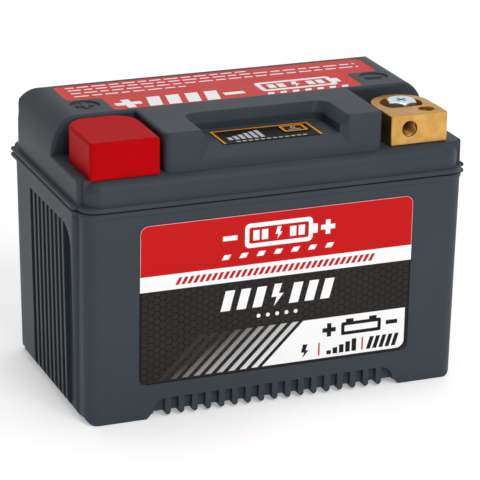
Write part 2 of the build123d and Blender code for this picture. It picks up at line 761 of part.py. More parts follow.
# ---- terminals ----------------------------------------------------------------------
def make_terminal(side):
    """A brass terminal: a block with a front and a top hole, and a ring round its bolt."""
    low = min(side * TERMINAL_LOW_X, side * TERMINAL_HIGH_X)
    high = max(side * TERMINAL_LOW_X, side * TERMINAL_HIGH_X)
    post = side * POST_X
    bar = block(low, high, TERMINAL_FRONT, TERMINAL_BACK, SHOULDER_TOP, TERMINAL_TOP)
    bar = chamfer(bar.edges(), TERMINAL_EDGE)
    ring = upright_cylinder(post, POST_Y, TERMINAL_RING_RADIUS, SHOULDER_TOP, TERMINAL_RING_TOP)
    ring += block(
        post - TERMINAL_RING_RADIUS,
        post + TERMINAL_RING_RADIUS,
        TERMINAL_BACK - 1,
        POST_Y,
        SHOULDER_TOP,
        TERMINAL_RING_TOP,
    )
    ring -= upright_cylinder(post, POST_Y, COUNTERBORE_RADIUS, COUNTERBORE_FLOOR, HEIGHT)
    ring -= upright_cylinder(post, POST_Y, BOLT_HOLE_RADIUS, 0, HEIGHT)
    body = bar + ring
    front_hole = Pos(side * FRONT_HOLE_X, TERMINAL_FRONT, FRONT_HOLE_Z) * Rot(90, 0, 0)
    bore = Cylinder(FRONT_HOLE_RADIUS, 2 * FRONT_HOLE_DEPTH)
    flare = Cone(FRONT_HOLE_RADIUS - HOLE_CHAMFER, FRONT_HOLE_RADIUS + HOLE_CHAMFER, 2 * HOLE_CHAMFER)
    body -= front_hole * bore
    body -= front_hole * flare
    top_hole = Pos(side * TOP_HOLE_X, TOP_HOLE_Y, TERMINAL_TOP)
    top_flare = Cone(TOP_HOLE_RADIUS - HOLE_CHAMFER, TOP_HOLE_RADIUS + HOLE_CHAMFER, 2 * HOLE_CHAMFER)
    body -= top_hole * Cylinder(TOP_HOLE_RADIUS, 2 * TOP_HOLE_DEPTH)
    body -= top_hole * top_flare
    return body


def make_washer(side):
    """The flat washer under the bolt's head."""
    ring = upright_cylinder(side * POST_X, POST_Y, WASHER_RADIUS, COUNTERBORE_FLOOR, HEAD_FOOT)
    return ring - upright_cylinder(side * POST_X, POST_Y, WASHER_BORE_RADIUS, 0, HEIGHT)


def trim_with_bevel(hexagon, side):
    """Trims the corners of a hexagon's top to the usual round bevel."""
    flat_radius = HEAD_ACROSS_FLATS / 2 - HEAD_BEVEL
    slope = math.tan(math.radians(HEAD_BEVEL_DEGREES))
    wide_radius = flat_radius + HEAD_HEIGHT * slope
    bevel = Pos(side * POST_X, POST_Y, HEAD_FOOT) * Cone(
        wide_radius, flat_radius, HEAD_HEIGHT, align=(Align.CENTER, Align.CENTER, Align.MIN)
    )
    return hexagon & bevel


def make_bolt(side):
    """The M6 hex bolt with a cross recess, its thread drawn as a plain shank."""
    axis_foot = Pos(side * POST_X, POST_Y, HEAD_FOOT)
    corner_radius = HEAD_ACROSS_FLATS / math.sqrt(3)
    hexagon = extrude(axis_foot * RegularPolygon(corner_radius, 6, rotation=HEAD_TURN), HEAD_HEIGHT)
    head = trim_with_bevel(hexagon, side)
    shank = upright_cylinder(side * POST_X, POST_Y, BOLT_RADIUS, BOLT_FOOT, HEAD_FOOT)
    shank = chamfer(edges_at_height(shank, BOLT_FOOT), SHANK_CHAMFER)
    bolt = head + shank
    turn = Rot(0, 0, DRIVE_TURN)
    middle = Pos(side * POST_X, POST_Y, HEAD_TOP - DRIVE_DEPTH / 2)
    for angle in (0, 90):
        bolt -= middle * turn * Rot(0, 0, angle) * Box(DRIVE_SLOT_LENGTH, DRIVE_SLOT_WIDTH, DRIVE_DEPTH)
    return bolt


def make_post(side):
    """The threaded brass post moulded into the lid under a terminal."""
    x = side * POST_X
    post = upright_cylinder(x, POST_Y, POST_RADIUS, POST_FLANGE_LOW, SHOULDER_TOP)
    post += upright_cylinder(x, POST_Y, POST_FLANGE_RADIUS, POST_FLANGE_LOW, POST_FLANGE_HIGH)
    post += upright_cylinder(x, POST_Y, POST_STUB_RADIUS, POST_STUB_FOOT, POST_FLANGE_LOW)
    return post - upright_cylinder(x, POST_Y, BOLT_RADIUS + BOLT_CLEARANCE, POST_BORE_FLOOR, HEIGHT)


def cap_solid(inset, z_low, z_high):
    """The cap's outline, shrunk by inset: small corners in front, large ones behind."""
    low = CAP_LOW_X + inset
    high = CAP_HIGH_X - inset
    front = CAP_FRONT + inset
    back = CAP_BACK - inset
    body = block(-high, -low, front, back, z_low, z_high)
    uprights = body.edges().filter_by(Axis.Z)
    body = fillet(uprights.sort_by(Axis.Y)[:2], max(CAP_FRONT_CORNER - inset, SMALLEST_CORNER))
    rear = body.edges().filter_by(Axis.Z).sort_by(Axis.Y)[-2:]
    return fillet(rear, CAP_REAR_CORNER - inset)


def make_terminal_cap():
    """The lift-off red cap over the positive terminal."""
    outside = cap_solid(0, SHOULDER_TOP, CAP_TOP)
    outside = fillet(edges_at_height(outside, CAP_TOP), CAP_EDGE)
    return outside - cap_solid(CAP_WALL, 0, CAP_TOP - CAP_ROOF)


# ---- labels -------------------------------------------------------------------------
def make_front_label():
    """The printed film on the front panel, which leans with the panel's draft."""
    middle_z = (FRONT_LABEL_LOW + FRONT_LABEL_HIGH) / 2
    middle_y = -(PANEL_HALF_DEPTH_FOOT + PANEL_SLOPE * middle_z)
    leaning = Plane(origin=(0, middle_y, middle_z), x_dir=(1, 0, 0), z_dir=(0, -1, -PANEL_SLOPE))
    height = FRONT_LABEL_HIGH - FRONT_LABEL_LOW
    film = leaning * RectangleRounded(FRONT_LABEL_LENGTH, height, FRONT_LABEL_CORNER)
    return extrude(film, LABEL_THICKNESS)


def top_label_block(height):
    """A block of the top label's outline, cut back round the polarity marks."""
    rear = TOP_LABEL_REAR
    shelf = TOP_LABEL_SHELF
    front = TOP_LABEL_FRONT
    outline = Polyline(
        (-TOP_LABEL_HALF_LENGTH, rear),
        (-TOP_LABEL_HALF_LENGTH, shelf),
        (-TOP_LABEL_NECK, shelf),
        (-TOP_LABEL_NECK, front),
        (TOP_LABEL_NECK, front),
        (TOP_LABEL_NECK, shelf),
        (TOP_LABEL_HALF_LENGTH, shelf),
        (TOP_LABEL_HALF_LENGTH, rear),
        close=True,
    )
    face = make_face(outline)
    face = fillet(face.vertices(), TOP_LABEL_CORNER)
    return extrude(Pos(0, 0, HEIGHT - TOP_LABEL_SINK - LABEL_THICKNESS) * face, height)


def make_top_label():
    """The printed film on the lid, sunk a little below the lid's top."""
    return top_label_block(LABEL_THICKNESS)


# ---- cells --------------------------------------------------------------------------
def cell_middles():
    """The middle of each cell, column by column from the positive end."""
    middles = []
    for column in range(CELL_COLUMNS):
        for row in range(CELL_ROWS):
            x = (column - (CELL_COLUMNS - 1) / 2) * CELL_PITCH
            y = (row - (CELL_ROWS - 1) / 2) * CELL_PITCH
            middles.append((x, y))
    return middles


def make_cell(number):
    """One 26650 cell; the columns stand alternately nub up and nub down."""
    x, y = cell_middles()[number]
    nub_up = (number // CELL_ROWS) % 2 == 0
    can = upright_cylinder(0, 0, CELL_RADIUS, 0, CELL_LENGTH - CELL_NUB_HEIGHT)
    can = fillet(can.edges(), CELL_EDGE)
    ring_z = CELL_LENGTH - CELL_GROOVE_FROM_END
    ring = Pos(0, 0, ring_z) * Torus(CELL_RADIUS + CELL_GROOVE_OFFSET, CELL_GROOVE_ROUND)
    nub = upright_cylinder(0, 0, CELL_NUB_RADIUS, CELL_LENGTH - CELL_NUB_ROOT, CELL_LENGTH)
    cell = can - ring + nub
    if nub_up:
        return Pos(x, y, CELL_FOOT) * cell
    return Pos(x, y, CELL_TOP) * Rot(180, 0, 0) * cell


def make_cell_frame(z_low):
    """A plate with a hole for each cell, which keeps the cells apart."""
    half_length = (CELL_COLUMNS - 1) / 2 * CELL_PITCH + FRAME_MARGIN
    half_depth = (CELL_ROWS - 1) / 2 * CELL_PITCH + FRAME_MARGIN
    plate = rounded_block(half_length, half_depth, FRAME_CORNER, z_low, z_low + FRAME_THICKNESS)
    for x, y in cell_middles():
        plate -= upright_cylinder(x, y, CELL_RADIUS + FRAME_HOLE_GAP, z_low - 1, z_low + FRAME_THICKNESS + 1)
    return plate


def make_link(first_column, last_column, z_low):
    """A nickel strip welded across the cells of one column or two."""
    first = (first_column - (CELL_COLUMNS - 1) / 2) * CELL_PITCH
    last = (last_column - (CELL_COLUMNS - 1) / 2) * CELL_PITCH
    reach_y = (CELL_ROWS - 1) / 2 * CELL_PITCH + LINK_END
    return block(first - LINK_END, last + LINK_END, -reach_y, reach_y, z_low, z_low + LINK_THICKNESS)


def make_sense_strips():
    """Thin strips that take each group's voltage up to the balance board."""
    strips = []
    half = SENSE_WIDTH / 2
    edge = BALANCE_HALF_DEPTH - SENSE_OVERLAP
    outside = (CELL_ROWS - 1) / 2 * CELL_PITCH + FRAME_MARGIN
    link_edge = (CELL_ROWS - 1) / 2 * CELL_PITCH + LINK_END
    far = outside + SENSE_THICKNESS
    low = CELL_FOOT - LINK_THICKNESS
    for x in (-CELL_PITCH, CELL_PITCH):
        foot = block(x - half, x + half, -far, -link_edge, low, low + SENSE_THICKNESS)
        rise = block(x - half, x + half, -far, -outside, low, BALANCE_TOP + SENSE_THICKNESS)
        over = block(x - half, x + half, -far, -edge, BALANCE_TOP, BALANCE_TOP + SENSE_THICKNESS)
        strips.append(foot + rise + over)
    return strips


def make_base_pad():
    """The foam that the cells stand on."""
    return rounded_block(
        CAVITY_HALF_LENGTH - PAD_GAP,
        CAVITY_HALF_DEPTH - PAD_GAP,
        CAVITY_CORNER,
        CASE_FLOOR,
        CELL_FOOT - LINK_THICKNESS,
    )


def make_end_pad(side):
    """Foam between the cells and one end of the case."""
    inner = (CELL_COLUMNS - 1) / 2 * CELL_PITCH + FRAME_MARGIN + PAD_GAP
    outer = CAVITY_HALF_LENGTH - PAD_GAP
    reach = CAVITY_HALF_DEPTH - CAVITY_CORNER
    low = min(side * inner, side * outer)
    high = max(side * inner, side * outer)
    return block(low, high, -reach, reach, CELL_FOOT, CELL_TOP - PAD_DROP)


def make_side_pad(side):
    """Foam between the cells and the front or the back of the case."""
    inner = (CELL_ROWS - 1) / 2 * CELL_PITCH + FRAME_MARGIN + PAD_GAP + SENSE_THICKNESS
    outer = CAVITY_HALF_DEPTH - PAD_GAP
    reach = (CELL_COLUMNS - 1) / 2 * CELL_PITCH + FRAME_MARGIN
    low = min(side * inner, side * outer)
    high = max(side * inner, side * outer)
    return block(-reach, reach, low, high, CELL_FOOT, CELL_TOP - PAD_DROP)


def make_insulator_sheet():
    """The sheet that keeps the balance board off the cell links."""
    reach = BALANCE_HALF_DEPTH + SHEET_MARGIN
    length = BALANCE_HALF_LENGTH + SHEET_MARGIN
    return block(-length, length, -reach, reach, LINK_TOP, SHEET_TOP)


# ---- balance board ------------------------------------------------------------------
def spacer_places():
    """The four corners where the balance board is held."""
    return [(x, y) for x in (-SPACER_X, SPACER_X) for y in (-SPACER_Y, SPACER_Y)]


def make_balance_board():
    """The circuit board that keeps the cell groups at the same charge."""
    board = rounded_block(
        BALANCE_HALF_LENGTH, BALANCE_HALF_DEPTH, BALANCE_CORNER, BALANCE_FOOT, BALANCE_TOP
    )
    for x, y in spacer_places():
        board -= upright_cylinder(x, y, SCREW_RADIUS + FIT_GAP, 0, HEIGHT)
    return board


def make_board_spacers():
    """Spacers between the insulator sheet and the balance board."""
    spacers = []
    for x, y in spacer_places():
        tube = upright_cylinder(x, y, SPACER_RADIUS, SHEET_TOP, BALANCE_FOOT)
        spacers.append(tube - upright_cylinder(x, y, SCREW_RADIUS, SHEET_TOP + SPACER_FLOOR, HEIGHT))
    return spacers


def make_board_screws():
    """Screws that hold the balance board to its spacers."""
    screws = []
    top = BALANCE_TOP + SCREW_HEAD_HEIGHT
    for x, y in spacer_places():
        screw = upright_cylinder(x, y, SCREW_HEAD_RADIUS, BALANCE_TOP, top)
        screw += upright_cylinder(x, y, SCREW_RADIUS, SHEET_TOP + SCREW_TIP, BALANCE_TOP)
        screw -= Pos(x, y, top) * Box(SCREW_SLOT_LENGTH, SCREW_SLOT_WIDTH, 2 * SCREW_SLOT_DEPTH)
        screws.append(screw)
    return screws


def board_part(x, y, length, width, height):
    """A rectangular component that stands on the balance board."""
    return block(
        x - length / 2, x + length / 2, y - width / 2, y + width / 2, BALANCE_TOP, BALANCE_TOP + height
    )


def make_board_transistors():
    """The row of switching transistors on the balance board."""
    pieces = []
    for number in range(PART_COUNT):
        x = PART_FIRST_X + number * PART_PITCH
        pieces.append(board_part(x, TRANSISTOR_Y, TRANSISTOR_SIDE, TRANSISTOR_SIDE, TRANSISTOR_HEIGHT))
    return pieces


def make_balance_resistors():
    """The resistors that bleed charge off a full group."""
    pieces = []
    for row in range(RESISTOR_ROWS):
        y = RESISTOR_FIRST_Y + row * RESISTOR_ROW_PITCH
        for number in range(PART_COUNT):
            x = PART_FIRST_X + number * PART_PITCH
            pieces.append(board_part(x, y, RESISTOR_LENGTH, RESISTOR_WIDTH, RESISTOR_HEIGHT))
    return pieces


def make_board_connector():
    """The socket for the indicator board's ribbon."""
    socket = board_part(0, SOCKET_Y, SOCKET_LENGTH, SOCKET_WIDTH, SOCKET_HEIGHT)
    inside = board_part(
        0, SOCKET_Y, SOCKET_LENGTH - 2 * SOCKET_WALL, SOCKET_WIDTH - 2 * SOCKET_WALL, PAST
    )
    return socket - Pos(0, 0, SOCKET_FLOOR) * inside


# ---- power straps -------------------------------------------------------------------
def make_power_strap(side):
    """A copper strap from the end column's link up to the post of one terminal."""
    half = STRAP_WIDTH / 2
    high = POST_FLANGE_LOW
    profile = Polyline(
        (STRAP_INNER_X, LINK_TOP),
        (STRAP_INNER_X, LINK_TOP + STRAP_THICKNESS),
        (STRAP_RISE_X, LINK_TOP + STRAP_THICKNESS),
        (STRAP_RISE_X, high),
        (STRAP_OUTER_X, high),
        (STRAP_OUTER_X, high - STRAP_THICKNESS),
        (STRAP_RISE_X + STRAP_THICKNESS, high - STRAP_THICKNESS),
        (STRAP_RISE_X + STRAP_THICKNESS, LINK_TOP),
        close=True,
    )
    face = make_face(profile)
    if side == POSITIVE:
        face = face.mirror(Plane.YZ)
    strap = extrude(Plane.XZ.offset(-POST_Y - half) * face, STRAP_WIDTH)
    return strap - upright_cylinder(side * POST_X, POST_Y, POST_STUB_RADIUS, 0, HEIGHT)


# ---- all the pieces -----------------------------------------------------------------
def all_pieces():
    """Every piece of the battery by name; a list holds identical pieces."""
    pieces = {
        "case": make_case(),
        "lid": make_lid(),
        "lid_seal": make_lid_seal(),
        "front_label": make_front_label(),
        "top_label": make_top_label(),
        "indicator_overlay": make_indicator_overlay(),
        "indicator_light_guides": make_light_guides(),
        "test_button": make_test_button(),
        "switch_plunger": make_switch_plunger(),
        "button_switch": make_button_switch(),
        "indicator_board": make_indicator_board(),
        "indicator_leds": make_indicator_leds(),
        "indicator_pillars": make_indicator_pillars(),
        "terminal_cap": make_terminal_cap(),
        "upper_cell_frame": make_cell_frame(FRAME_HIGH_Z),
        "lower_cell_frame": make_cell_frame(FRAME_LOW_Z),
        "upper_link_positive": make_link(0, 0, CELL_TOP),
        "upper_link_middle": make_link(1, 2, CELL_TOP),
        "upper_link_negative": make_link(3, 3, CELL_TOP),
        "lower_link_positive": make_link(0, 1, CELL_FOOT - LINK_THICKNESS),
        "lower_link_negative": make_link(2, 3, CELL_FOOT - LINK_THICKNESS),
        "sense_strips": make_sense_strips(),
        "base_pad": make_base_pad(),
        "left_end_pad": make_end_pad(POSITIVE),
        "right_end_pad": make_end_pad(NEGATIVE),
        "front_pad": make_side_pad(-1),
        "rear_pad": make_side_pad(1),
        "insulator_sheet": make_insulator_sheet(),
        "balance_board": make_balance_board(),
        "board_spacers": make_board_spacers(),
        "board_screws": make_board_screws(),
        "board_transistors": make_board_transistors(),
        "balance_resistors": make_balance_resistors(),
        "board_connector": make_board_connector(),
    }
    for word, side in (("positive", POSITIVE), ("negative", NEGATIVE)):
        pieces[word + "_terminal"] = make_terminal(side)
        pieces[word + "_bolt"] = make_bolt(side)
        pieces[word + "_washer"] = make_washer(side)
        pieces[word + "_post"] = make_post(side)
        pieces[word + "_strap"] = make_power_strap(side)
    for number in range(CELL_COLUMNS * CELL_ROWS):
        pieces["cell_" + str(number + 1)] = make_cell(number)
    return pieces


def write_pieces():
    """Writes one STEP file for each named piece."""
    os.makedirs("parts", exist_ok=True)
    for name, shape in all_pieces().items():
        if isinstance(shape, list):
            shape = Compound(children=shape)
        export_step(shape, "parts/" + name + ".step")


write_pieces()
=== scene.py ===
import json
import logging
import math
from dataclasses import dataclass
from enum import Enum

import bmesh
import bpy
from mathutils import Matrix, Vector


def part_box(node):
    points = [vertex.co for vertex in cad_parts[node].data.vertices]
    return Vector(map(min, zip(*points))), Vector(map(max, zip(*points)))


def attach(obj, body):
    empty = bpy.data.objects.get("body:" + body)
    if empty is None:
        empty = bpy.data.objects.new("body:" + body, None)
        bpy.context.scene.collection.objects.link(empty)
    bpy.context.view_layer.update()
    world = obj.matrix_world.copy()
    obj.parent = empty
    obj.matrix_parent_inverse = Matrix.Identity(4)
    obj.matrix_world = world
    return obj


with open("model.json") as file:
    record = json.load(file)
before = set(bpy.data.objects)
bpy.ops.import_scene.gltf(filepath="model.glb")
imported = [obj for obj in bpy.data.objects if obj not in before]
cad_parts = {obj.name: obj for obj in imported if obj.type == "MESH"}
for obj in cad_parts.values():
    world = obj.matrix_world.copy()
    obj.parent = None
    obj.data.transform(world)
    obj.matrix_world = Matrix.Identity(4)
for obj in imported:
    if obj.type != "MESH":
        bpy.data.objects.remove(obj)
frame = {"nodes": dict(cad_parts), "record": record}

LOG = logging.getLogger("battery")
MM = 0.001

DUST_COLOUR = (0.42, 0.42, 0.41)
INK_OVERLAP = 0.01
INK_HEIGHT = 0.03
FILM_INK_HEIGHT = 0.02

Point = tuple[float, float]
Outline = list[Point]
Colour = tuple[float, float, float]
Place = tuple[float, float, float]


class Body(Enum):
    """The moving bodies of the battery that a piece can ride on."""

    BATTERY = "battery"
    BUTTON = "button"


class Slot(Enum):
    """The names of the record's material slots for the new pieces."""

    FRONT_PRINT = "front_print"
    TOP_PRINT = "top_print"
    INDICATOR = "indicator_film"
    BUTTON = "button_film"
    BRASS = "brass"


# ---- shader tools --------------------------------------------------------------------
class Wiring:
    """Adds nodes to one shader tree and joins them."""

    def __init__(self, tree: bpy.types.NodeTree) -> None:
        """Keeps the tree and empties it.

        Args:
            tree: The material's or the group's node tree.
        """
        self.tree = tree
        self.tree.nodes.clear()

    def add(self, kind: str, **settings: object) -> bpy.types.Node:
        """Adds one node.

        Args:
            kind: The node's type name without the leading "ShaderNode".
            settings: Properties of the node, by name.

        Returns:
            The new node.
        """
        node = self.tree.nodes.new(kind if kind.startswith("Node") else "ShaderNode" + kind)
        for name, value in settings.items():
            setattr(node, name, value)
        return node

    def join(self, source: bpy.types.NodeSocket, target: bpy.types.NodeSocket) -> None:
        """Joins an output to an input."""
        self.tree.links.new(source, target)

    def feed(self, target: bpy.types.NodeSocket, value: object) -> None:
        """Sets an input to a number, or joins an output to it.

        Args:
            target: The input.
            value: A number, a tuple or an output socket.
        """
        if isinstance(value, bpy.types.NodeSocket):
            self.join(value, target)
        else:
            target.default_value = value

    def sum(self, operation: str, first: object, second: object = 0.0) -> bpy.types.NodeSocket:
        """Adds one step of arithmetic.

        Args:
            operation: The Math node's operation.
            first: A number or an output.
            second: A number or an output.

        Returns:
            The result's socket.
        """
        node = self.add("Math", operation=operation)
        self.feed(node.inputs[0], first)
        self.feed(node.inputs[1], second)
        return node.outputs[0]

    def span(
        self, value: object, low: float, high: float, to_low: float, to_high: float
    ) -> bpy.types.NodeSocket:
        """Maps one range of values onto another and clamps it.

        Args:
            value: The output to map.
            low: Its lowest value.
            high: Its highest value.
            to_low: What the lowest becomes.
            to_high: What the highest becomes.

        Returns:
            The mapped value's socket.
        """
        node = self.add("MapRange")
        self.feed(node.inputs["Value"], value)
        node.inputs["From Min"].default_value = low
        node.inputs["From Max"].default_value = high
        node.inputs["To Min"].default_value = to_low
        node.inputs["To Max"].default_value = to_high
        return node.outputs["Result"]

    def blend(self, factor: object, first: object, second: object) -> bpy.types.NodeSocket:
        """Mixes two colours.

        Args:
            factor: How much of the second, from 0 to 1.
            first: A colour or an output.
            second: A colour or an output.

        Returns:
            The mixed colour's socket.
        """
        node = self.add("Mix", data_type="RGBA")
        self.feed(node.inputs[0], factor)
        for socket, colour in ((node.inputs[6], first), (node.inputs[7], second)):
            self.feed(socket, colour if isinstance(colour, bpy.types.NodeSocket) else (*colour, 1.0))
        return node.outputs[2]

    def millimetres(self) -> bpy.types.NodeSocket:
        """Finds the place on the battery, counted in millimetres.

        Returns:
            The place's socket.
        """
        place = self.add("TexCoord")
        scale = self.add("VectorMath", operation="SCALE")
        self.join(place.outputs["Object"], scale.inputs[0])
        scale.inputs["Scale"].default_value = 1 / MM
        return scale.outputs[0]

    def noise(self, place: bpy.types.NodeSocket, scale: float, detail: float) -> bpy.types.NodeSocket:
        """A noise value at a place.

        Args:
            place: The place, in millimetres.
            scale: Cycles for each millimetre.
            detail: How many finer octaves it has.

        Returns:
            The noise's socket, from 0 to 1.
        """
        node = self.add("TexNoise")
        self.join(place, node.inputs["Vector"])
        node.inputs["Scale"].default_value = scale
        node.inputs["Detail"].default_value = detail
        return node.outputs["Fac"]


class EffectGroup:
    """A shader node group that several finishes place with their own values."""

    name = "effect"
    takes: tuple[tuple[str, float], ...] = ()
    gives: tuple[tuple[str, str], ...] = ()

    def tree(self) -> bpy.types.NodeTree:
        """Builds the group's tree the first time, and finds it again after that.

        Returns:
            The tree.
        """
        found = bpy.data.node_groups.get(self.name)
        if found:
            return found
        tree = bpy.data.node_groups.new(self.name, "ShaderNodeTree")
        for title, value in self.takes:
            socket = tree.interface.new_socket(title, in_out="INPUT", socket_type="NodeSocketFloat")
            socket.default_value = value
        for title, kind in self.gives:
            tree.interface.new_socket(title, in_out="OUTPUT", socket_type="NodeSocket" + kind)
        wiring = Wiring(tree)
        inside = wiring.add("NodeGroupInput")
        outside = wiring.add("NodeGroupOutput")
        self.fill(wiring, inside, outside)
        return tree

    def fill(self, wiring: Wiring, inside: bpy.types.Node, outside: bpy.types.Node) -> None:
        """Adds the group's own nodes.

        Args:
            wiring: The group's tree.
            inside: The node that gives the inputs.
            outside: The node that takes the outputs.
        """
        raise NotImplementedError

    def place(self, wiring: Wiring, **values: float) -> bpy.types.Node:
        """Places the group in a material.

        Args:
            wiring: The material's tree.
            values: Input values by name.

        Returns:
            The placed group.
        """
        node = wiring.add("Group", node_tree=self.tree())
        for title, value in values.items():
            node.inputs[title.replace("_", " ")].default_value = value
        return node


class MouldedGrain(EffectGroup):
    """The fine stipple of a textured mould, with a slow drift of tone."""

    name = "moulded_grain"
    takes = (("Grain Size", 0.3), ("Drift", 0.03))
    gives = (("Height", "Float"), ("Tone", "Float"))
    pebble_scale = 0.8
    stipple_height = 0.65
    pebble_height = 0.35
    drift_tone = 0.55
    stipple_tone = 0.45

    def fill(self, wiring: Wiring, inside: bpy.types.Node, outside: bpy.types.Node) -> None:
        """Adds the stipple and the drift.

        Args:
            wiring: The group's tree.
            inside: The node that gives the inputs.
            outside: The node that takes the outputs.
        """
        place = wiring.millimetres()
        finer = wiring.add("VectorMath", operation="SCALE")
        wiring.join(place, finer.inputs[0])
        wiring.join(wiring.sum("DIVIDE", 1.0, inside.outputs["Grain Size"]), finer.inputs["Scale"])
        stipple = wiring.noise(finer.outputs[0], 1.0, 2.5)
        pebbles = wiring.add("TexVoronoi")
        wiring.join(finer.outputs[0], pebbles.inputs["Vector"])
        pebbles.inputs["Scale"].default_value = self.pebble_scale
        fine = wiring.sum("MULTIPLY", stipple, self.stipple_height)
        coarse = wiring.sum("MULTIPLY", pebbles.outputs["Distance"], self.pebble_height)
        wiring.join(wiring.sum("ADD", fine, coarse), outside.inputs["Height"])
        drift = wiring.add("TexNoise")
        wiring.join(place, drift.inputs["Vector"])
        wiring.join(inside.outputs["Drift"], drift.inputs["Scale"])
        drift.inputs["Detail"].default_value = 3.0
        slow = wiring.sum("MULTIPLY", drift.outputs["Fac"], self.drift_tone)
        quick = wiring.sum("MULTIPLY", stipple, self.stipple_tone)
        wiring.join(wiring.span(wiring.sum("ADD", slow, quick), 0.3, 0.7, 0.0, 1.0), outside.inputs["Tone"])


class EdgeHighlightAndWear(EffectGroup):
    """A rounded look for edges, and a mask of the edges for a painted highlight and for rubbing by handling.
    """

    name = "edge_highlight_and_rubbing"
    takes = (("Radius", 0.0005), ("Reach", 5.0))
    gives = (("Mask", "Float"), ("Normal", "Vector"))

    def fill(self, wiring: Wiring, inside: bpy.types.Node, outside: bpy.types.Node) -> None:
        """Adds the rounded normal and compares it with the surface's own.

        Args:
            wiring: The group's tree.
            inside: The node that gives the inputs.
            outside: The node that takes the outputs.
        """
        rounded = wiring.add("Bevel", samples=6)
        wiring.join(inside.outputs["Radius"], rounded.inputs["Radius"])
        own = wiring.add("NewGeometry")
        along = wiring.add("VectorMath", operation="DOT_PRODUCT")
        wiring.join(rounded.outputs["Normal"], along.inputs[0])
        wiring.join(own.outputs["Normal"], along.inputs[1])
        turned = wiring.sum("SUBTRACT", 1.0, along.outputs["Value"])
        bend = wiring.sum("MULTIPLY", turned, inside.outputs["Reach"])
        patches = wiring.span(wiring.noise(wiring.millimetres(), 0.7, 4.0), 0.4, 0.65, 0.25, 1.0)
        # The edge mask, broken into patches, carries a painted highlight as well as rubbing.
        mask = wiring.sum("MULTIPLY", wiring.sum("MINIMUM", bend, 1.0), patches)
        wiring.join(mask, outside.inputs["Mask"])
        wiring.join(rounded.outputs["Normal"], outside.inputs["Normal"])


class SettledDust(EffectGroup):
    """A mask of the faint dust on surfaces that face up."""

    name = "settled_dust"
    takes = (("Amount", 0.2),)
    gives = (("Mask", "Float"),)

    def fill(self, wiring: Wiring, inside: bpy.types.Node, outside: bpy.types.Node) -> None:
        """Adds the upward mask and breaks it up with specks.

        Args:
            wiring: The group's tree.
            inside: The node that gives the inputs.
            outside: The node that takes the outputs.
        """
        facing = wiring.add("NewGeometry")
        parts = wiring.add("SeparateXYZ")
        wiring.join(facing.outputs["Normal"], parts.inputs[0])
        upward = wiring.span(parts.outputs["Z"], 0.5, 1.0, 0.0, 1.0)
        specks = wiring.span(wiring.noise(wiring.millimetres(), 1.4, 5.0), 0.35, 0.75, 0.3, 1.0)
        mask = wiring.sum("MULTIPLY", wiring.sum("MULTIPLY", upward, specks), inside.outputs["Amount"])
        wiring.join(mask, outside.inputs["Mask"])


class DrawnMetal(EffectGroup):
    """Fine tool lines along one direction and a slow mottle of tarnish."""

    name = "drawn_metal"
    takes = (("Line Size", 0.12), ("Mottle", 0.25))
    gives = (("Height", "Float"), ("Tone", "Float"))
    stretch = (0.06, 1.0, 1.0)
    mottle_tone = 0.7
    line_tone = 0.3

    def fill(self, wiring: Wiring, inside: bpy.types.Node, outside: bpy.types.Node) -> None:
        """Adds the lines and the mottle.

        Args:
            wiring: The group's tree.
            inside: The node that gives the inputs.
            outside: The node that takes the outputs.
        """
        place = wiring.millimetres()
        finer = wiring.add("VectorMath", operation="SCALE")
        wiring.join(place, finer.inputs[0])
        wiring.join(wiring.sum("DIVIDE", 1.0, inside.outputs["Line Size"]), finer.inputs["Scale"])
        stretched = wiring.add("VectorMath", operation="MULTIPLY")
        wiring.join(finer.outputs[0], stretched.inputs[0])
        stretched.inputs[1].default_value = self.stretch
        lines = wiring.noise(stretched.outputs[0], 1.0, 2.0)
        wiring.join(lines, outside.inputs["Height"])
        mottle = wiring.add("TexNoise")
        wiring.join(place, mottle.inputs["Vector"])
        wiring.join(inside.outputs["Mottle"], mottle.inputs["Scale"])
        mottle.inputs["Detail"].default_value = 4.0
        slow = wiring.sum("MULTIPLY", mottle.outputs["Fac"], self.mottle_tone)
        quick = wiring.sum("MULTIPLY", lines, self.line_tone)
        wiring.join(wiring.span(wiring.sum("ADD", slow, quick), 0.33, 0.67, 0.0, 1.0), outside.inputs["Tone"])


# ---- finishes ------------------------------------------------------------------------
def new_material(name: str) -> tuple[bpy.types.Material, Wiring, bpy.types.Node]:
    """Makes a material with its shader and output joined.

    Args:
        name: The material's name.

    Returns:
        The material, its wiring and its Principled shader.
    """
    material = bpy.data.materials.new(name)
    material.use_nodes = True
    wiring = Wiring(material.node_tree)
    output = wiring.add("OutputMaterial")
    shader = wiring.add("BsdfPrincipled")
    wiring.join(shader.outputs[0], output.inputs["Surface"])
    return material, wiring, shader


